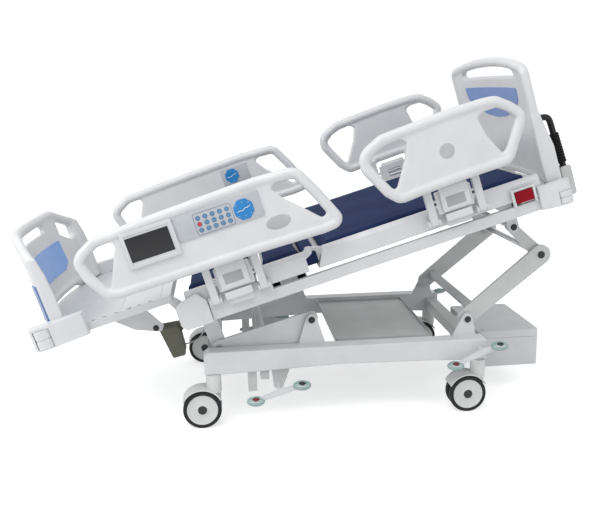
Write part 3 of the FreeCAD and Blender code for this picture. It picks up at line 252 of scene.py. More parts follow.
# %% Coloured, black and bare finishes
blue_insert_foot = grain_finish("light_blue_laminate", "7fa6e2", "789fdc", 0.35, 1.0, 0.04)
blue_insert_head = grain_finish("mid_blue_laminate", "6487c4", "5d80bd", 0.35, 1.0, 0.04)
blue_strip = grain_finish("deep_blue_laminate", "5f7aa5", "58739e", 0.35, 1.0, 0.04)
grey_window = grain_finish("grey_latch_window", "a5a8a8", "9a9d9d", 0.42, 1.0, 0.03)
black_gloss = grain_finish("black_vinyl_tube", "0c0c0d", "080809", 0.25, 1.2, 0.02, gleam=0.3)
black_grip = grain_finish("black_foamed_rubber", "161617", "101011", 0.7, 1.6, 0.35, gleam=0.2)
green_pad = grain_finish("grey_green_rubber", "93aaa6", "879e9a", 0.6, 1.4, 0.2)
red_lens = grain_finish("red_acrylic_lens", "8c0016", "780012", 0.35, 1.0, 0.01, gleam=0.15)
tyre_rubber = grain_finish("black_polyurethane_tread", "232426", "1c1d1e", 0.55, 1.0, 0.1, gleam=0.25)
wheel_nylon = grain_finish("light_grey_nylon", "d2d3d2", "c9cac9", 0.45, 1.1, 0.08)
# Dark grey nylon for the hub caps, bolts and screws; on the foot panel it is also the painted shade
# of the slots.
dark_nylon_and_slot_shade = grain_finish("dark_grey_nylon", "333435", "2b2c2d", 0.5, 1.1, 0.08, gleam=0.3)
zinc = grain_finish("zinc_plated_steel", "b9bcc0", "a6a9ad", 0.3, 0.9, 0.05, metal=1.0)
cable_sheath = grain_finish("pvc_cable_sheath", "c9cac8", "bcbdbb", 0.45, 1.0, 0.05)
print(len(bpy.data.materials), "finishes so far")

# %% [markdown]
# The mattress pads wear a navy stretch cover: a coated knit whose threads are about half a
# millimetre apart. At this distance the knit only shows as a soft sheen, so it is drawn a little
# coarser than life, with slow creases laid over it. The hollows of the creases are painted a
# darker navy, which is painted shade.

# %% Pad cover
THREADS = 280.0


def knit_finish():
    finish, tree = new_finish("navy_coated_knit")
    where = add_node(tree, "ShaderNodeTexCoord")
    tip = add_node(tree, "ShaderNodeMapping", settings={"vector_type": "POINT"},
                   inputs={"Vector": (where, "Object"), "Rotation": (0, TILT, 0)})
    ribs, cross = (
        add_node(tree, "ShaderNodeTexWave", settings={"bands_direction": direction}, inputs={
            "Vector": (tip, 0), "Scale": THREADS, "Distortion": 0.6, "Detail": 1.0})
        for direction in "XY")
    weave = add_node(tree, "ShaderNodeMath", settings={"operation": "MULTIPLY"},
                     inputs={0: (ribs, "Fac"), 1: (cross, "Fac")})
    crease = add_node(tree, "ShaderNodeTexNoise", inputs={
        "Vector": (tip, 0), "Scale": 7.0, "Detail": 4.0, "Roughness": 0.5})
    # Painted shade: the noise that dents the creases also darkens their hollows, from the navy of the
    # lit top to the navy of the shaded sides.
    shade = two_tone(tree, crease, "1d2849", "263357", 0.72)
    knit = add_node(tree, "ShaderNodeBump", inputs={
        "Height": (weave, 0), "Strength": 0.25, "Distance": 0.0003})
    folds = add_node(tree, "ShaderNodeBump", inputs={
        "Height": (crease, 0), "Strength": 0.35, "Distance": 0.004, "Normal": (knit, 0)})
    shader = add_node(tree, "ShaderNodeBsdfPrincipled", inputs={
        "Base Color": (shade, 0), "Roughness": 0.72, "Normal": (folds, 0), "Sheen Weight": 0.02,
        "Sheen Roughness": 0.4, "Specular IOR Level": 0.05})
    close_finish(tree, shader)
    return finish


pad_cover = knit_finish()

# %% [markdown]
# The screen is a dark glass over a liquid crystal panel, so it is smooth and nearly black. The
# membrane keys are printed polyester: flat colour with a slight gloss. The bezel is sprayed
# silver under a thin clear coat.

# %% Screen and key finishes
screen_glass = grain_finish("dark_screen_glass", "222224", "1e1e20", 0.2, 2.0, 0.0, gleam=0.35)
silver_bezel = grain_finish("silver_painted_abs", "cacccf", "c4c6c9", 0.3, 0.9, 0.04, coat=0.2)
key_sheet = grain_finish("grey_polyester_membrane", "b4b8bd", "adb2b8", 0.33, 1.2, 0.03)
key_line = grain_finish("navy_print", "3d4e74", "36466a", 0.4, 1.2, 0.0)
key_blue = grain_finish("blue_polyester_key", "5b87ab", "5480a5", 0.3, 1.2, 0.02)
key_red = grain_finish("red_polyester_key", "c43040", "b82838", 0.3, 1.2, 0.02)
octagon_blue = grain_finish("bright_blue_polyester", "1f7fc0", "1a77b8", 0.28, 1.2, 0.02)
badge_silver = grain_finish("brushed_silver_badge", "b4b6b8", "9fa1a4", 0.35, 0.8, 0.1)
print(len(bpy.data.materials), "finishes so far")

# %% [markdown]
# ## Dressing the frame
# Every frame part keeps its own shape and gets its finish through its material slot. A list of
# finishes with the parts that wear them keeps this in one place.

# %% Finishes for the frame parts
WEARS = (
    (white_steel, ("base_rail_near", "base_rail_far", "deck_side_near", "deck_side_far",
                   "arm_brackets", "deck_lift_brackets", "foot_lift_arm", "foot_section",
                   "foot_rail_arm_near", "foot_rail_arm_far", "head_rail_arm_near",
                   "head_rail_arm_far", "seat_rail_mounts", "back_rail_mounts",
                   "brake_pedal_foot", "brake_pedal_head")),
    (grey_steel, ("base_cross_members", "base_tray", "pedal_hangers", "head_lift_arm",
                  "head_lift_link", "deck_cross_members")),
    (white_cover, ("seat_section", "back_section", "thigh_section", "foot_corner_covers",
                   "head_corner_covers")),
    (white_shell, ("foot_rail_near", "foot_rail_far", "head_rail_near", "head_rail_far",
                   "headboard", "footboard")),
    (blue_insert_head, ("headboard_insert",)),
    (blue_insert_foot, ("footboard_insert",)),
    (box_shell, ("power_box",)),
    (motor_case, ("knee_motor",)),
    (black_grip, ("push_handle_near", "push_handle_far")),
    (red_lens, ("cpr_handle_near", "cpr_handle_far")),
    (zinc, ("foot_knee_rod", "head_knee_rod")),
    (key_sheet, ("control_panel",)),
    (pad_cover, ("back_pad", "seat_pad", "thigh_pad")),
    (cable_sheath, ("motor_cable",)),
)
CORNER_WEARS = ((wheel_nylon, "caster_fork"), (tyre_rubber, "caster_wheels"),
                (white_cover, "bumper_roller"))


def dress(wearer, finish):
    nodes[wearer].data.materials.clear()
    nodes[wearer].data.materials.append(finish)


for finish, wearers in WEARS:
    for wearer in wearers:
        dress(wearer, finish)
for end in ("foot", "head"):
    for side, name in SIDES:
        for finish, kind in CORNER_WEARS:
            dress("%s_%s_%s" % (kind, end, name), finish)
print("dressed", sum(len(wearers) for finish, wearers in WEARS) + 4 * len(CORNER_WEARS), "parts")

# %% [markdown]
# ## The motor's cable
# A short free cable hangs between the deck frame and the motor under the foot end. It is a real
# cable, so it is one smooth spline through the points of its route, with a round section.

# %% Motor cable
CABLE_ROUTE = ((-372, 565.8), (-372, 520), (-400, 460), (-440, 425), (-492.5, 430))
CABLE_V = -180
CABLE_RADIUS = 3
strand = bpy.data.curves.new("motor_cable_sheath", "CURVE")
strand.dimensions = "3D"
line = strand.splines.new("NURBS")
line.points.add(len(CABLE_ROUTE) - 1)
for point, (u, w) in zip(line.points, CABLE_ROUTE):
    point.co = (*deck_point(u, CABLE_V, w), 1)
line.order_u = 3
line.use_endpoint_u = True
strand.bevel_depth = CABLE_RADIUS * MM
strand.bevel_resolution = 4
strand.materials.append(cable_sheath)
cable = bpy.data.objects.new("motor_cable_sheath", strand)
bpy.context.collection.objects.link(cable)
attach(cable, "deck")
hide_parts("motor_cable")
print("cable of", len(CABLE_ROUTE), "route points")

# %% [markdown]
# ## Side rails
# Each rail is one blow-moulded shell: a round rim about 40 mm thick that runs right round, and a
# thinner web between its two hand openings. The rim is a closed curve with a round bevel, the web
# a flat filled curve with holes. Joined and remeshed in small voxels, the two melt together
# with the soft fillets that a mould leaves.

# %% Outline helpers
CORNER_STEPS = 7


def corner_points(points, radius):
    """Points of a closed outline with each corner rounded."""
    rounded = []
    count = len(points)
    for i in range(count):
        here = Vector(points[i])
        back = Vector(points[i - 1]) - here
        ahead = Vector(points[(i + 1) % count]) - here
        half = back.angle(ahead) / 2
        reach = min(radius / math.tan(half), 0.48 * back.length, 0.48 * ahead.length)
        start = here + back.normalized() * reach
        stop = here + ahead.normalized() * reach
        for k in range(CORNER_STEPS + 1):
            t = k / CORNER_STEPS
            rounded.append(start * (1 - t) ** 2 + here * 2 * t * (1 - t) + stop * t * t)
    return rounded


def inset_points(points, distance):
    """The outline moved inwards by distance, by the bisector of each corner."""
    moved = []
    count = len(points)
    area = sum(points[i][0] * points[(i + 1) % count][1] - points[(i + 1) % count][0] * points[i][1]
               for i in range(count))
    turn = 1 if area > 0 else -1
    for i in range(count):
        here = Vector(points[i])
        first = (here - Vector(points[i - 1])).normalized()
        second = (Vector(points[(i + 1) % count]) - here).normalized()
        normal_a = Vector((-first.y, first.x)) * turn
        normal_b = Vector((-second.y, second.x)) * turn
        bisector = (normal_a + normal_b).normalized()
        moved.append(here + bisector * distance / max(0.5, bisector.dot(normal_a)))
    return moved


def meshed(name, data):
    """An object of the curve, turned to a mesh."""
    piece = bpy.data.objects.new(name, data)
    bpy.context.collection.objects.link(piece)
    pick(piece)
    bpy.ops.object.convert(target="MESH")
    return bpy.context.object


def link_curve(name, loops, flat, depth, bevel, resolution=3):
    """A curve of closed loops, as a filled flat plate or as a round rim, turned to a mesh."""
    data = bpy.data.curves.new(name, "CURVE")
    data.dimensions = "2D" if flat else "3D"
    if flat:
        data.fill_mode = "BOTH"
        data.extrude = depth * MM
    data.bevel_depth = bevel * MM
    data.bevel_resolution = resolution
    for loop in loops:
        spline = data.splines.new("POLY")
        spline.points.add(len(loop) - 1)
        for point, spot in zip(spline.points, loop):
            point.co = (spot[0] * MM, spot[1] * MM, 0, 1)
        spline.use_cyclic_u = True
    return meshed(name, data)


def upright(piece, v):
    """Stand a flat piece on its edge: its own y becomes w, at distance v across."""
    piece.data.transform(Matrix.Translation((0, v * MM, 0)) @ Matrix.Rotation(math.pi / 2, 4, "X"))
    return piece


# %% Rail shells
FOOT_SHELL = ((-713, 946), (-682, 980), (-620, 1013), (-398, 1025), (-27, 1037), (118, 1030),
              (150, 1012), (195, 928), (250, 800), (222, 768), (166, 764), (-115, 772),
              (-600, 774), (-647, 788), (-693, 868))
FOOT_HOLES = (((-683, 941), (-634, 977), (-596, 990), (-556, 990), (-546, 958), (-571, 906),
               (-617, 807), (-645, 851)),
              ((21, 984), (52, 996), (121, 992), (138, 970), (187, 870), (204, 832), (174, 815),
               (123, 867), (57, 931)))
HEAD_SHELL = ((355, 975), (381, 1007), (450, 1038), (686, 1050), (838, 1050), (894, 1044),
              (946, 1005), (992, 952), (970, 905), (896, 788), (730, 787), (555, 782),
              (456, 775), (412, 820), (355, 930))
HEAD_HOLES = (((386, 957), (423, 986), (465, 1000), (522, 1005), (544, 984), (521, 924),
               (465, 832), (446, 830), (424, 862)),
              ((805, 992), (835, 1005), (888, 1005), (943, 963), (958, 932), (884, 839),
               (866, 833), (825, 911)))
RIM = 20
WEB, WEB_EDGE = 12, 4
RIM_CORNER, WEB_CORNER, HOLE_CORNER = 34, 30, 16
RAIL_MIDDLE = 547.5
RAIL_VOXEL = 0.0042


def melted(parts, voxel):
    """Join parts and remesh them in small voxels, so that they run into each other."""
    piece = joined(*parts)
    modifier(piece, "REMESH", mode="VOXEL", voxel_size=voxel, use_smooth_shade=True)
    modifier(piece, "SMOOTH", factor=0.6, iterations=6)
    return piece


def rail_shell(end, side, name, shell, holes):
    smooth_rim = corner_points(inset_points(shell, RIM), RIM_CORNER)
    rim = link_curve("rim", [smooth_rim], False, 0, RIM, 6)
    outer = corner_points(inset_points(shell, RIM * 0.6), WEB_CORNER)
    openings = [corner_points(hole, HOLE_CORNER) for hole in holes]
    web = link_curve("web", [outer] + openings, True, WEB - WEB_EDGE, WEB_EDGE)
    piece = upright(melted((rim, web), RAIL_VOXEL), side * RAIL_MIDDLE)
    return settle(piece, "%s_rail_shell_%s" % (end, name), DECK, "rail_%s_%s" % (end, name),
                  white_shell, 180)


# %% [markdown]
# The hidden side of each rail carries small cheeks that hold the pins of the two swing arms. They
# are bevelled blocks with a pin through them.

# %% Rail cheeks
STRAP_V = 500
STRAP_HALF = 15
CHEEK, CHEEK_HALF = 8, 13
CHEEK_ACROSS = (STRAP_V - 12, RAIL_MIDDLE - 8)
PIN_HALF, PIN_RADIUS = 24, 5
RAILS = (("foot", FOOT_SHELL, FOOT_HOLES, (-288, -103), 790),
         ("head", HEAD_SHELL, HEAD_HOLES, (570, 760), 800))


def block(u0, u1, v0, v1, w0, w1, bevel):
    """A block in deck millimetres with bevelled edges."""
    deselect()
    bpy.ops.mesh.primitive_cube_add(size=1)
    piece = bpy.context.object
    piece.scale = ((u1 - u0) * MM, (v1 - v0) * MM, (w1 - w0) * MM)
    piece.location = ((u0 + u1) / 2 * MM, (v0 + v1) / 2 * MM, (w0 + w1) / 2 * MM)
    bpy.ops.object.transform_apply(location=True, rotation=True, scale=True)
    modifier(piece, "BEVEL", width=bevel * MM, segments=3)
    return piece


def side_block(side, u0, u1, across, w0, w1, bevel):
    """A block on one side of the bed; across is its inner and outer distance from the middle."""
    v0, v1 = sorted((side * across[0], side * across[1]))
    return block(u0, u1, v0, v1, w0, w1, bevel)


def round_bar(p, q, radius, segments=24):
    """A bar between two points given in millimetres."""
    p, q = Vector(p) * MM, Vector(q) * MM
    deselect()
    bpy.ops.mesh.primitive_cylinder_add(vertices=segments, radius=radius * MM, depth=(q - p).length)
    piece = bpy.context.object
    piece.rotation_mode = "QUATERNION"
    piece.rotation_quaternion = (q - p).to_track_quat("Z", "Y")
    piece.location = (p + q) / 2
    bpy.ops.object.transform_apply(location=True, rotation=True, scale=True)
    modifier(piece, "BEVEL", width=min(0.8, radius * 0.2) * MM, segments=2, limit_method="ANGLE")
    return piece


def rail_cheeks(end, side, name, straps, high):
    parts = []
    for u in straps:
        for low in (u - STRAP_HALF - CHEEK, u + STRAP_HALF):
            parts.append(side_block(side, low, low + CHEEK, CHEEK_ACROSS, high - CHEEK_HALF,
                                    high + CHEEK_HALF, 3))
        parts.append(round_bar((u - PIN_HALF, side * STRAP_V, high),
                               (u + PIN_HALF, side * STRAP_V, high), PIN_RADIUS))
    return settle(joined(*parts), "%s_rail_cheeks_%s" % (end, name), DECK,
                  "rail_%s_%s" % (end, name), white_shell)


for side, name in SIDES:
    for end, shell, holes, straps, high in RAILS:
        piece = rail_shell(end, side, name, shell, holes)
        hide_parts("%s_rail_%s" % (end, name))
        rail_cheeks(end, side, name, straps, high)

# %% [markdown]
# ## Control unit
# The near foot rail carries a screen in a silver bezel and a grey membrane with fifteen keys and
# an eight-sided pad. The bezel is a plate whose middle is inset and pushed in, as a moulder
# would; the glass lies at the bottom of that recess.

# %% Screen unit
CONTROL_BODY = "rail_foot_near"
UNIT_BACK, BEZEL_FRONT, GLASS_FRONT = -556, -569.5, -568.2
BEZEL_RIM, BEZEL_SINK = 11, 2.5


def inset_plate(u0, u1, w0, w1, v_back, v_front, rim, sink):
    """A plate whose front face is inset by rim and pushed back by sink."""
    piece = block(u0, u1, v_front, v_back, w0, w1, 1.5)
    pick(piece)
    bpy.ops.object.mode_set(mode="EDIT")
    mesh = bmesh.from_edit_mesh(piece.data)
    for face in mesh.faces:
        face.select = face.normal.y < -0.9 and face.calc_area() > 1e-3
    bmesh.update_edit_mesh(piece.data)
    bpy.ops.mesh.inset(thickness=rim * MM, depth=0)
    bpy.ops.mesh.inset(thickness=0.001, depth=-sink * MM)
    bpy.ops.object.mode_set(mode="OBJECT")
    return piece


bezel = inset_plate(-524, -336, 862, 994, UNIT_BACK, BEZEL_FRONT, BEZEL_RIM, BEZEL_SINK)
settle(bezel, "screen_bezel", DECK, CONTROL_BODY, silver_bezel)
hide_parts("control_panel")
glass = block(-512, -354, GLASS_FRONT, -563, 884, 972, 0.6)
settle(glass, "screen_glass", DECK, CONTROL_BODY, screen_glass)

# %% [markdown]
# The keys are printed bubbles in a plastic film. Each is a sphere pressed almost flat with a
# thin ring round it, and one of the fifteen is red.

# %% Key membrane
SHEET_FACE = -564
KEY_ROWS, KEY_COLUMNS, RED_KEY = 3, 5, (1, 0)
KEY_U, KEY_W = -246, 962
KEY_STEP_U, KEY_STEP_W = 26.5, 22
KEY_RADIUS, RING_RADIUS = 7.6, 7.8
KEY_FLATTEN = 0.18
membrane = block(-332, -18, SHEET_FACE, UNIT_BACK, 898, 992, 1.2)
settle(membrane, "key_membrane", DECK, CONTROL_BODY, key_sheet)


def key_dome(u, w, finish, name):
    deselect()
    bpy.ops.mesh.primitive_uv_sphere_add(segments=24, ring_count=12, radius=KEY_RADIUS * MM)
    piece = bpy.context.object
    piece.scale = (1, KEY_FLATTEN, 1)
    piece.location = (u * MM, SHEET_FACE * MM, w * MM)
    return settle(piece, name, DECK, CONTROL_BODY, finish, 180)


def key_ring(u, w):
    deselect()
    bpy.ops.mesh.primitive_torus_add(major_segments=32, minor_segments=8,
                                     major_radius=RING_RADIUS * MM, minor_radius=0.0008)
    piece = bpy.context.object
    piece.rotation_euler = (math.pi / 2, 0, 0)
    piece.location = (u * MM, (SHEET_FACE - 0.1) * MM, w * MM)
    return piece


rings = []
for row in range(KEY_ROWS):
    for column in range(KEY_COLUMNS):
        u, w = KEY_U + KEY_STEP_U * column, KEY_W - KEY_STEP_W * row
        finish = key_red if (row, column) == RED_KEY else key_blue
        key_dome(u, w, finish, "key_%d_%d" % (row, column))
        rings.append(key_ring(u, w))
settle(joined(*rings), "key_rings", DECK, CONTROL_BODY, key_line, 180)

frame_corners = ((-262, 902), (-124, 902), (-124, 980), (-262, 980))
frame_line = link_curve("key_frame_line", [corner_points(frame_corners, 10)], False, 0, 0.6)
upright(frame_line, SHEET_FACE - 0.2)
settle(frame_line, "key_frame_line", DECK, CONTROL_BODY, key_line, 180)

# %% [markdown]
# The eight-sided pad is a flat filled outline. Its white signs stand a hair above it: a wave
# drawn as a thin spline, and six dots.

# %% Eight-sided pad
WAVE = ((-25, -4), (-15, -2), (-5, -5), (5, 4), (15, 2), (25, 8))
DOTS = ((0, 26), (0, -24), (-22, 20), (22, 20), (-22, -20), (22, -20))
DOT_RADIUS = 2.2


def octagon(name, u, w, half_u, half_w, v, body):
    """A flat eight-sided pad with level top and bottom sides."""
    turns = [math.radians(22.5 + 45 * i) for i in range(8)]
    corners = [(u + half_u * math.cos(turn), w + half_w * math.sin(turn)) for turn in turns]
    piece = link_curve(name, [corner_points(corners, 8)], True, 1.2, 0.6)
    settle(upright(piece, v), name, DECK, body, octagon_blue)


def pad_signs(name, u, w, v, body):
    """A raised white wave and six small dots on an eight-sided pad."""
    data = bpy.data.curves.new(name, "CURVE")
    data.dimensions = "3D"
    data.bevel_depth = 0.0013
    crest = data.splines.new("NURBS")
    crest.points.add(len(WAVE) - 1)
    for point, (du, dw) in zip(crest.points, WAVE):
        point.co = ((u + du) * MM, (w + dw) * MM, 0, 1)
    crest.order_u = 3
    crest.use_endpoint_u = True
    wave = upright(meshed(name, data), v)
    dots = [round_bar((u + du, v - 0.6, w + dw), (u + du, v + 0.8, w + dw), DOT_RADIUS, 3)
            for du, dw in DOTS]
    settle(joined(wave, *dots), name, DECK, body, white_cover, 60)


octagon("octagon_pad", -83, 942, 37, 39, -564.3, CONTROL_BODY)
pad_signs("octagon_wave", -83, 942, -566.3, CONTROL_BODY)

# %% [markdown]
# A bare oval badge sits near the head end of the near foot rail, and each head rail carries a
# round cover disc. Both are shallow domes: a sphere pressed flat. The far foot rail has a small
# panel with an eight-sided pad, on the face that looks across the bed.

# %% Badge, discs and far panel
DISC_U, DISC_W, DISC_RADIUS = 671, 910, 28
DISC_V, DISC_DEPTH = 559.5, 2.6


def pressed_disc(name, body, centre, radii):
    deselect()
    bpy.ops.mesh.primitive_uv_sphere_add(segments=48, ring_count=16, radius=1)
    piece = bpy.context.object
    piece.scale = [radius * MM for radius in radii]
    piece.location = [distance * MM for distance in centre]
    return settle(piece, name, DECK, body, badge_silver, 180)


pressed_disc("oval_badge", CONTROL_BODY, (19, -559.5, 859), (46, 3, 25))
for side, name in SIDES:
    pressed_disc("round_disc_" + name, "rail_head_" + name, (DISC_U, side * DISC_V, DISC_W),
                 (DISC_RADIUS, DISC_DEPTH, DISC_RADIUS))
far_panel = block(-150, -16, 533, 537.5, 909, 990, 1.2)
settle(far_panel, "far_rail_panel", DECK, "rail_foot_far", key_sheet)
octagon("far_octagon_pad", -100, 948, 34, 36, 532.5, "rail_foot_far")
pad_signs("far_octagon_wave", -100, 948, 530.6, "rail_foot_far")

# %% [markdown]
# ## Wheels
# Each caster runs on two 150 mm wheels: a grey nylon disc with a dark hub cap and a thin black
# tread. A profile is drawn once and spun round the axle, tread and disc apart because they are
# different materials.

# %% Wheel profiles
WHEEL_X, WHEEL_Y, WHEEL_RADIUS = 530.6, 382, 75
SPIN_STEPS = 64


def spun(profile):
    """Spin an open profile of (across, radius) millimetres round the across axis."""
    data = bpy.data.meshes.new("profile")
    data.from_pydata([(0, a * MM, r * MM) for a, r in profile],
                     [(i, i + 1) for i in range(len(profile) - 1)], [])
    piece = bpy.data.objects.new("profile", data)
    bpy.context.collection.objects.link(piece)
    pick(piece)
    bpy.ops.object.mode_set(mode="EDIT")
    bpy.ops.mesh.select_all(action="SELECT")
    bpy.ops.mesh.spin(steps=SPIN_STEPS, angle=2 * math.pi, center=(0, 0, 0), axis=(0, 1, 0))
    bpy.ops.mesh.select_all(action="SELECT")
    bpy.ops.mesh.remove_doubles(threshold=0.00001)
    bpy.ops.mesh.normals_make_consistent(inside=False)
    bpy.ops.object.mode_set(mode="OBJECT")
    return piece


TREAD = ((12.5, 60), (12.5, 70), (14, 73.4), (18, 74.8), (25, 75), (32, 74.8), (36, 73.4),
         (37.6, 70), (37.8, 62.5), (36, 61), (14, 60), (12.5, 60))
DISC = ((13, 8.2), (13, 59), (15, 60.4), (34.6, 60.4), (37.2, 59.4), (36.4, 57), (34.4, 52),
        (33.2, 40), (33.4, 26), (34.6, 21), (36, 19.5), (36, 8.2), (13, 8.2))
CAP = ((35.4, 0), (35.4, 17.8), (36.6, 17.6), (37.8, 15), (37.9, 0))


def mirrored_pair(piece):
    """The same piece on both sides of the fork."""
    other = copied(piece)
    other.data.transform(Matrix.Scale(-1, 4, (0, 1, 0)))
    other.data.flip_normals()
    return joined(piece, other)


wheel_parts = [(mirrored_pair(spun(profile)), label, finish) for profile, label, finish in (
    (TREAD, "tread", tyre_rubber), (DISC, "disc", wheel_nylon), (CAP, "cap", dark_nylon_and_slot_shade))]
wheel_parts.append((round_bar((0, -14, 0), (0, 14, 0), 8), "axle", zinc))
for end, x in (("foot", -WHEEL_X), ("head", WHEEL_X)):
    for side, name in SIDES:
        hub = Matrix.Translation((x * MM, side * WHEEL_Y * MM, WHEEL_RADIUS * MM))
        for master, label, finish in wheel_parts:
            piece = copied(master)
            piece.data.transform(hub)
            settle(piece, "wheel_%s_%s_%s" % (label, end, name), FLOOR,
                   "wheels_%s_%s" % (end, name), finish)
            if label == "tread":
                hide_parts("caster_wheels_%s_%s" % (end, name))
for master, label, finish in wheel_parts:
    bpy.data.objects.remove(master)

# %% [markdown]
# ## Brake pedals
# The treadles at both ends are oval pads of grey-green rubber on the levers, each with a small
# oval mark: dark red for lock and black for steer. Pad and mark are pressed spheres that lean
# outwards.

# %% Pedal pads
PEDALS = (("foot", 470, (("lock", -325, 118), ("steer", -146, 172))),
          ("head", 440, (("lock", 470, 204), ("steer", 648, 277))))
PEDAL_LEAN, PEDAL_LIFT = 32, 2
PAD_RADII, MARK_RADII, MARK_RISE = (35, 23, 12), (14, 9, 2.4), 11.4
marks = {"lock": grain_finish("dark_red_mark", "6b1a2a", "5e1524", 0.5, 1.2, 0.02),
         "steer": grain_finish("black_mark", "23282a", "1d2123", 0.5, 1.2, 0.02)}
for end, y, pads in PEDALS:
    for side, name in SIDES:
        for word, x, z in pads:
            for radii, rise, finish, part in ((PAD_RADII, 0, green_pad, "pad"),
                                              (MARK_RADII, MARK_RISE, marks[word], "mark")):
                deselect()
                bpy.ops.mesh.primitive_uv_sphere_add(segments=40, ring_count=20, radius=MM)
                piece = bpy.context.object
                piece.data.transform(Matrix.Diagonal((*radii, 1)))
                piece.data.transform(Matrix.Translation((0, 0, rise * MM)))
                piece.rotation_euler = (math.radians(-PEDAL_LEAN * side), 0, 0)
                piece.location = (x * MM, side * y * MM, (z + PEDAL_LIFT) * MM)
                settle(piece, "pedal_%s_%s_%s_%s" % (part, word, end, name), FLOOR,
                       "brake_" + end, finish, 180)

# %% [markdown]
# ## Head and foot boards
# The two boards are made like the rails: a round rim, a thinner web with hand openings, melted
# together by a remesh. They are drawn flat, then bowed: each point moves by the sag of the arc
# that the board follows. Their sides grow deeper towards the bottom, so blocks are melted in
# there.

# %% Boards
BOARD_HALF = 450
BOARD_VOXEL = 0.0048
BOARD_WEB = 24
BOARD_CORNER, GRIP_CORNER = 30, 18
FLARE_BACK, FLARE_FRONT = -19, 20
# Each board's place along the deck, the sag of its bow and the way it bows.
BOARDS = {"headboard": (1083.5, 26, 1), "footboard": (-972, 104, -1)}


def sag(v, bow):
    radius = (BOARD_HALF ** 2 + bow ** 2) / (2 * bow)
    return radius - math.sqrt(radius ** 2 - min(abs(v), BOARD_HALF + 20) ** 2)


def bow_piece(piece, board, offset=0):
    """Turn a flat piece (x across, y up, z deep) into a bowed one in deck axes."""
    u, bow, out = BOARDS[board]
    for vertex in piece.data.vertices:
        v, w, deep = (c / MM for c in vertex.co)
        vertex.co = ((u + offset - out * sag(v, bow) + deep) * MM, v * MM, w * MM)
    return piece


def board_shell(board, outline, holes, rim_radius, extras):
    edge = corner_points(inset_points(outline, rim_radius), BOARD_CORNER)
    rim = link_curve("rim", [edge], False, 0, rim_radius, 6)
    outer = corner_points(inset_points(outline, rim_radius * 0.5), BOARD_CORNER)
    openings = [corner_points(hole, GRIP_CORNER) for hole in holes]
    plate = link_curve("plate", [outer] + openings, True, BOARD_WEB / 2 - WEB_EDGE, WEB_EDGE)
    piece = bow_piece(melted((rim, plate, *extras), BOARD_VOXEL), board)
    return settle(piece, board + "_shell", DECK, board, white_shell, 180)


def subdivided(piece, cuts):
    pick(piece)
    bpy.ops.object.mode_set(mode="EDIT")
    bpy.ops.mesh.select_all(action="SELECT")
    bpy.ops.mesh.subdivide(number_cuts=cuts)
    bpy.ops.object.mode_set(mode="OBJECT")
    return piece


HEAD_OUTLINE = ((-450, 641), (450, 641), (450, 1090), (418, 1112), (300, 1128), (150, 1139),
                (0, 1142), (-150, 1139), (-300, 1128), (-418, 1112), (-450, 1090))
HEAD_GRIP = ((-326, 1058), (326, 1058), (316, 1088), (250, 1102), (0, 1112), (-250, 1102),
             (-316, 1088))
FOOT_OUTLINE = ((-450, 707), (-330, 707), (-290, 722), (290, 722), (330, 707), (450, 707),
                (450, 1000), (295, 1083), (-295, 1083), (-450, 1000))
FOOT_GRIPS = (((-186, 1000), (186, 1000), (196, 1026), (180, 1044), (-180, 1044), (-196, 1026)),
              ((300, 962), (302, 1042), (410, 984), (410, 938), (385, 912)),
              ((-300, 962), (-385, 912), (-410, 938), (-410, 984), (-302, 1042)))


def flare(low, high, ramp, depth):
    """Side blocks that grow deeper, away from the flat face, below the height high."""
    blocks = []
    for v0, v1 in ((-449, -404), (404, 449)):
        piece = subdivided(block(v0, v1, low, high + 30, FLARE_BACK, FLARE_FRONT, 6), 3)
        for vertex in piece.data.vertices:
            if vertex.co.z > 0:
                vertex.co.z += max(0, min(1, (high - vertex.co.y / MM) / ramp)) * depth * MM
        blocks.append(piece)
    return blocks


head_shell = board_shell("headboard", HEAD_OUTLINE, [HEAD_GRIP], 19, flare(643, 890, 90, 26))
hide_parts("headboard")
foot_shell = board_shell("footboard", FOOT_OUTLINE, FOOT_GRIPS, 20, flare(709, 965, 60, 16))
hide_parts("footboard")

# %% [markdown]
# Both boards lift off, so each stands on two zinc-plated pins that drop into its corner covers.

# %% Board pins
for board, v, low, high in (("headboard", 380, 590, 660), ("footboard", 400, 661, 740)):
    u, bow, out = BOARDS[board]
    at = u - out * sag(v, bow)
    pins = [round_bar((at, side * v, low), (at, side * v, high), 11) for side, name in SIDES]
    settle(joined(*pins), board + "_pins", DECK, board, zinc)

# %% [markdown]
# The blue laminate panels are thin plates let into the inner faces. A plate is filled from its
# outline, cut into strips by a row of bisects and then bowed like its board. Two narrow strips
# cover the outer corners of the footboard.

# %% Blue panels
PANEL_THICK, STRIP_THICK = 3, 18
PANEL_SINK, STRIP_SINK = 12.5, 13.5
STRIP = ((400, 755), (446, 755), (446, 895), (400, 895))


def bowed_plate(name, points, corner, thick, board, offset, finish):
    piece = link_curve(name, [corner_points(points, corner)], True, thick / 2 - 0.5, 0.5, 2)
    pick(piece)
    bpy.ops.object.mode_set(mode="EDIT")
    for v in range(-435, 436, 29):
        bpy.ops.mesh.select_all(action="SELECT")
        bpy.ops.mesh.bisect(plane_co=(v * MM, 0, 0), plane_no=(1, 0, 0))
    bpy.ops.object.mode_set(mode="OBJECT")
    bow_piece(piece, board, offset)
    return settle(piece, name, DECK, board, finish, 30)


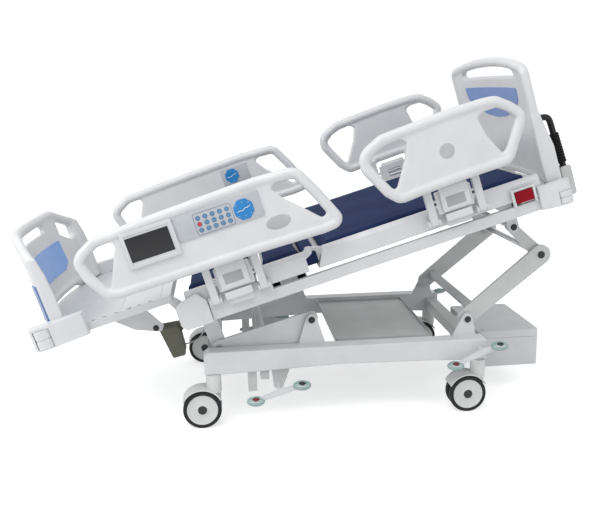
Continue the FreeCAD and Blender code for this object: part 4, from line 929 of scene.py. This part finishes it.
HEAD_PANEL = ((-318, 1018), (-308, 966), (-230, 925), (-115, 897), (0, 889), (115, 897),
              (230, 925), (308, 966), (318, 1018))
FOOT_PANEL = ((-270, 944), (-280, 838), (-235, 812), (235, 812), (280, 838), (270, 944))
panel = bowed_plate("headboard_panel", HEAD_PANEL, 6, PANEL_THICK, "headboard", -PANEL_SINK,
                    blue_insert_head)
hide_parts("headboard_insert")
panel = bowed_plate("footboard_panel", FOOT_PANEL, 6, PANEL_THICK, "footboard", PANEL_SINK,
                    blue_insert_foot)
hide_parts("footboard_insert")
for side, name in SIDES:
    bowed_plate("footboard_strip_" + name, [(side * v, w) for v, w in STRIP], 5, STRIP_THICK,
                "footboard", -STRIP_SINK, blue_strip)

# %% [markdown]
# ## Latch covers, grips and small parts
# Over each pair of rail arms lies a white latch cover with a grey window, and it swings with the
# arms. It ends a little above their pivots, so that it clears the mount when the rail is down,
# and a fixed skirt below the gap hides the latch.

# %% Latch covers
LATCHES = (("foot", "deck", -254, -142, 640, 770, (-234, -162, 692, 732)),
           ("head", "back", 612, 724, 655, 778, (630, 704, 702, 742)))
LID_GAP = 32
LID_ACROSS, PANE_ACROSS, SKIRT_ACROSS = (505, 517), (516, 517.8), (500.6, 512)
SKIRT_LOW, SKIRT_HIGH, SKIRT_INSET = -8, 22, 4
for end, carrier, u0, u1, pivot, high, window in LATCHES:
    for side, name in SIDES:
        corner = "%s_%s" % (end, name)
        lid = side_block(side, u0, u1, LID_ACROSS, pivot + LID_GAP, high, 4)
        settle(lid, "latch_cover_" + corner, DECK, "rail_arm_" + corner, white_cover)
        pane = side_block(side, window[0], window[1], PANE_ACROSS, window[2], window[3], 0.7)
        settle(pane, "latch_window_" + corner, DECK, "rail_arm_" + corner, grey_window)
        skirt = side_block(side, u0 + SKIRT_INSET, u1 - SKIRT_INSET, SKIRT_ACROSS,
                           pivot + SKIRT_LOW, pivot + SKIRT_HIGH, 4)
        settle(skirt, "latch_skirt_" + corner, DECK, carrier, white_cover)

# %% [markdown]
# The bed is steered by two bent steel tubes behind the headboard, dipped in black vinyl. The tube
# is a round spline along its route, and the ribbed foam sleeve on it is a row of overlapping rings.

# %% Push handles
HANDLE_V = 330
TUBE_RADIUS = 12.5
GRIP_ROUTE = ((1165, 652), (1163, 700), (1161, 745), (1157, 790), (1155, 830), (1153, 868),
              (1134, 880), (1110, 880))
SLEEVE_RINGS, SLEEVE_STEP = 11, 11
SLEEVE_U, SLEEVE_LOW = 1163.5, 690
SLEEVE_DRIFT, SLEEVE_LEAN = 0.055, -0.06


def tube_on(points, v, radius):
    """A round tube along points of the (u, w) plane, with closed ends."""
    data = bpy.data.curves.new("tube", "CURVE")
    data.dimensions = "3D"
    data.bevel_depth = radius * MM
    data.bevel_resolution = 6
    data.use_fill_caps = True
    spline = data.splines.new("NURBS")
    spline.points.add(len(points) - 1)
    for point, (u, w) in zip(spline.points, points):
        point.co = (u * MM, v * MM, w * MM, 1)
    spline.order_u = 3
    spline.use_endpoint_u = True
    spline.resolution_u = 10
    return meshed("tube", data)


def sleeve_ring(rise, v):
    deselect()
    bpy.ops.mesh.primitive_torus_add(major_segments=28, minor_segments=10,
                                     major_radius=0.0125, minor_radius=0.0064)
    ring = bpy.context.object
    ring.rotation_euler = (0, SLEEVE_LEAN, 0)
    ring.location = ((SLEEVE_U - SLEEVE_DRIFT * rise) * MM, v * MM, (SLEEVE_LOW + rise) * MM)
    return ring


for side, name in SIDES:
    v = side * HANDLE_V
    pipe = tube_on(GRIP_ROUTE, v, TUBE_RADIUS)
    settle(pipe, "push_tube_" + name, DECK, "push_" + name, black_gloss)
    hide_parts("push_handle_" + name)
    rings = [sleeve_ring(SLEEVE_STEP * k, v) for k in range(SLEEVE_RINGS)]
    settle(joined(*rings), "push_sleeve_" + name, DECK, "push_" + name, black_grip, 180)

# %% [markdown]
# Each red release flap lies in a white frame of three bars, open below where the flap turns on
# its pin. The frame stays on the deck when the back rises.

# %% Release flap frames
FRAME_ACROSS = (474, 483.5)
FRAME_TOP = 674
FRAME_BARS = ((884, 893.5, 608), (969.5, 979, 608), (893.5, 969.5, 667))
for side, name in SIDES:
    bars = [side_block(side, u0, u1, FRAME_ACROSS, low, FRAME_TOP, 1.5)
            for u0, u1, low in FRAME_BARS]
    settle(joined(*bars), "release_frame_" + name, DECK, "deck", white_cover)

# %% [markdown]
# Dark bolt heads close the pivots of the lift linkage, each on the part that holds its pin.

# %% Bolt heads
PIVOTS = (("base", FLOOR, -92, 354, 398, 10), ("base", FLOOR, 542, 354, 369, 10),
          ("head_lift", FLOOR, 850, 330, 618, 11), ("deck", DECK, 904, 350, 500, 10),
          ("foot_end", DECK, -560, 304, 566, 9))
WASHER_THICK, WASHER_SHARE = 1.6, 1.35
HEAD_START, HEAD_END = 1.2, 6


def bolt_head(x, y, z, radius, side):
    """A six-sided bolt head with a washer under it."""
    washer = round_bar((x, y, z), (x, y + side * WASHER_THICK, z), radius * WASHER_SHARE)
    cap = round_bar((x, y + side * HEAD_START, z), (x, y + side * HEAD_END, z), radius, 6)
    return joined(washer, cap)


for number, (body, plane, x, y, z, radius) in enumerate(PIVOTS):
    for side, name in SIDES:
        bolt = bolt_head(x, side * y, z, radius, side)
        settle(bolt, "bolt_%d_%s" % (number, name), plane, body, dark_nylon_and_slot_shade)

# %% [markdown]
# The bare foot panel has a row of slots and a screw along each edge, laid on top of it. The
# slots are thin dark blocks: painted shade where the openings are dark inside.

# %% Slots and screws of the foot panel
SLOT_V, SLOT_HALF = 438, 2
SLOT_LENGTH, SLOT_STEP = 12, 44
SHEET_TOP = 705.6
for side, name in SIDES:
    v = side * SLOT_V
    slot_shades = [block(u, u + SLOT_LENGTH, v - SLOT_HALF, v + SLOT_HALF, SHEET_TOP, SHEET_TOP + 1.2, 0.2)
             for u in range(-880, -520, SLOT_STEP)]
    settle(joined(*slot_shades), "foot_panel_slots_" + name, DECK, "foot_end", dark_nylon_and_slot_shade)
    screw = round_bar((-600, v, SHEET_TOP), (-600, v, SHEET_TOP + 1.8), 5)
    settle(screw, "foot_panel_screw_" + name, DECK, "foot_end", dark_nylon_and_slot_shade)

# %% [markdown]
# The cover between seat and back is gathered in a fold, a soft block that stays on the deck while
# the back rises out of it.

# %% Fold between the seat and back pads
fold = block(69, 119, -452, 452, 642, 692, 8)
settle(fold, "pad_fold", DECK, "deck", pad_cover, 60)

# %% [markdown]
# ## Mattress pads
# A foam pad in a stretch cover bulges a little: its top crowns and its sides pull in between the
# corners. A block the size of the foam is remeshed, then inflated by a short cloth simulation
# with gravity off. How far a point may move is capped, and the pad is then pressed back to the
# flat floor and sides of its tray.

# %% Padded pieces
PADS = (("back_pad", "back", 128, 982, 166), ("seat_pad", "deck", -93, 64, None),
        ("thigh_pad", "thigh", -386, -126, None))
PAD_ALLOWANCE = 4
PAD_HALF = 421
PAD_LOW, PAD_HIGH = 641.5, 709
PAD_CORNER = 11
PAD_CAP = 9
SLOPE_REACH = 200
CLOTH_FRAMES = 12
TRAY_FLOOR, TRAY_HALF = 640.6, 424.5
CROWN_FROM, CROWN_BASE, CROWN_RISE = 690, 706, 5
CROWN_MARGIN = 12


def foam_block(u0, u1, slope_to):
    """A block of foam; the back pad's lower end slopes back from the hinge."""
    piece = block(u0, u1, -PAD_HALF, PAD_HALF, PAD_LOW, PAD_HIGH, PAD_CORNER)
    if slope_to:
        for vertex in piece.data.vertices:
            share = (vertex.co.z / MM - PAD_LOW) / (PAD_HIGH - PAD_LOW)
            near = 1 - min(1, (vertex.co.x / MM - u0) / SLOPE_REACH)
            vertex.co.x += (slope_to - u0) * MM * share * near
    modifier(piece, "REMESH", mode="VOXEL", voxel_size=0.009, use_smooth_shade=True)
    return piece


def inflate(piece):
    """Blow the cover up by cloth simulation and cap how far each point moves."""
    rest = [vertex.co.copy() for vertex in piece.data.vertices]
    pick(piece)
    cloth = piece.modifiers.new("cover", "CLOTH")
    cloth.settings.use_pressure = True
    cloth.settings.uniform_pressure_force = 4
    cloth.settings.quality = 4
    cloth.settings.effector_weights.gravity = 0
    scene = bpy.context.scene
    for number in range(1, CLOTH_FRAMES + 1):
        scene.frame_set(number)
    bpy.ops.object.modifier_apply(modifier=cloth.name)
    scene.frame_set(1)
    cap = PAD_CAP * MM
    for vertex, start in zip(piece.data.vertices, rest):
        step = vertex.co - start
        if step.length > cap:
            vertex.co = start + step.normalized() * cap
    return piece


def crown(piece, u0, u1):
    """Hold the pad inside its tray: flat below, softly domed on top."""
    for vertex in piece.data.vertices:
        u, v, w = (c / MM for c in vertex.co)
        across = 1 - (v / PAD_HALF) ** 2
        along = 1 - ((u - (u0 + u1) / 2) / ((u1 - u0) / 2 + CROWN_MARGIN)) ** 2
        lift = CROWN_RISE * max(0, across) ** 0.5 * max(0, along) ** 0.5
        if w > CROWN_FROM:
            w = min(w, CROWN_BASE + lift)
        w = max(w, TRAY_FLOOR)
        v = max(-TRAY_HALF, min(TRAY_HALF, v))
        vertex.co = (u * MM, v * MM, w * MM)


for label, body, u0, u1, slope_to in PADS:
    piece = foam_block(u0 + PAD_ALLOWANCE, u1 - PAD_ALLOWANCE, slope_to)
    inflate(piece)
    crown(piece, u0, u1)
    modifier(piece, "SMOOTH", factor=0.5, iterations=3)
    modifier(piece, "SUBSURF", levels=1, render_levels=1)
    settle(piece, label + "_cushion", DECK, body, pad_cover, 180)
    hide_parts(label)

# %% [markdown]
# ## Light and floor
# The photograph is lit softly from above, with a plain white ground. The world gives even light
# and shows white to the camera and in reflections. Three broad lamps model the shapes, and most
# of their light comes from the foot end and the near side.

# %% World and lamps
BED_MIDDLE = Vector((0.1, 0, 0.6))


def backdrop_rays(tree):
    """A node that is 1 for camera, mirrored and passing rays."""
    rays = add_node(tree, "ShaderNodeLightPath")
    either = add_node(tree, "ShaderNodeMath", settings={"operation": "MAXIMUM"},
                      inputs={0: (rays, "Is Camera Ray"), 1: (rays, "Is Glossy Ray")})
    return add_node(tree, "ShaderNodeMath", settings={"operation": "MAXIMUM"},
                    inputs={0: (either, 0), 1: (rays, "Is Transmission Ray")})


def area_lamp(name, location, size, power):
    lamp = bpy.data.lights.new(name, "AREA")
    lamp.shape = "DISK"
    lamp.size = size
    lamp.energy = power
    item = bpy.data.objects.new(name, lamp)
    item.location = location
    item.rotation_mode = "QUATERNION"
    item.rotation_quaternion = (BED_MIDDLE - Vector(location)).to_track_quat("-Z", "Y")
    bpy.context.collection.objects.link(item)
    print(name, power, "W")


world = bpy.data.worlds.new("studio")
bpy.context.scene.world = world
world.use_nodes = True
tree = world.node_tree
tree.nodes.clear()
soft = add_node(tree, "ShaderNodeBackground",
                inputs={"Color": (0.98, 0.985, 1.0, 1), "Strength": 0.74})
plain = add_node(tree, "ShaderNodeBackground", inputs={"Color": (1, 1, 1, 1), "Strength": 1.0})
seen = backdrop_rays(tree)
mix = add_node(tree, "ShaderNodeMixShader", inputs={0: (seen, 0), 1: (soft, 0), 2: (plain, 0)})
add_node(tree, "ShaderNodeOutputWorld", inputs={"Surface": (mix, 0)})

area_lamp("key_lamp", (-1.0, -2.2, 3.6), 2.6, 50)
area_lamp("side_lamp", (-3.4, -1.2, 2.6), 2.4, 52)
area_lamp("fill_lamp", (2.6, -2.6, 2.2), 2.6, 16)

# %% [markdown]
# A large pale plane takes the soft shadow, and a glow seen by the backdrop's rays whitens it.

# %% Floor
deselect()
bpy.ops.mesh.primitive_plane_add(size=60, location=(0, 0, -0.0005))
floor = bpy.context.object
floor.name = "studio_floor"
ground, tree = new_finish("pale_studio_floor")
matte = add_node(tree, "ShaderNodeBsdfDiffuse", inputs={"Color": (0.8, 0.8, 0.8, 1)})
glow = add_node(tree, "ShaderNodeEmission", inputs={"Color": (1, 1, 1, 1), "Strength": 0.55})
seen = backdrop_rays(tree)
none = add_node(tree, "ShaderNodeEmission", inputs={"Color": (0, 0, 0, 1), "Strength": 0.0})
share = add_node(tree, "ShaderNodeMixShader", inputs={0: (seen, 0), 1: (none, 0), 2: (glow, 0)})
total = add_node(tree, "ShaderNodeAddShader", inputs={0: (matte, 0), 1: (share, 0)})
close_finish(tree, total)
floor.data.materials.append(ground)
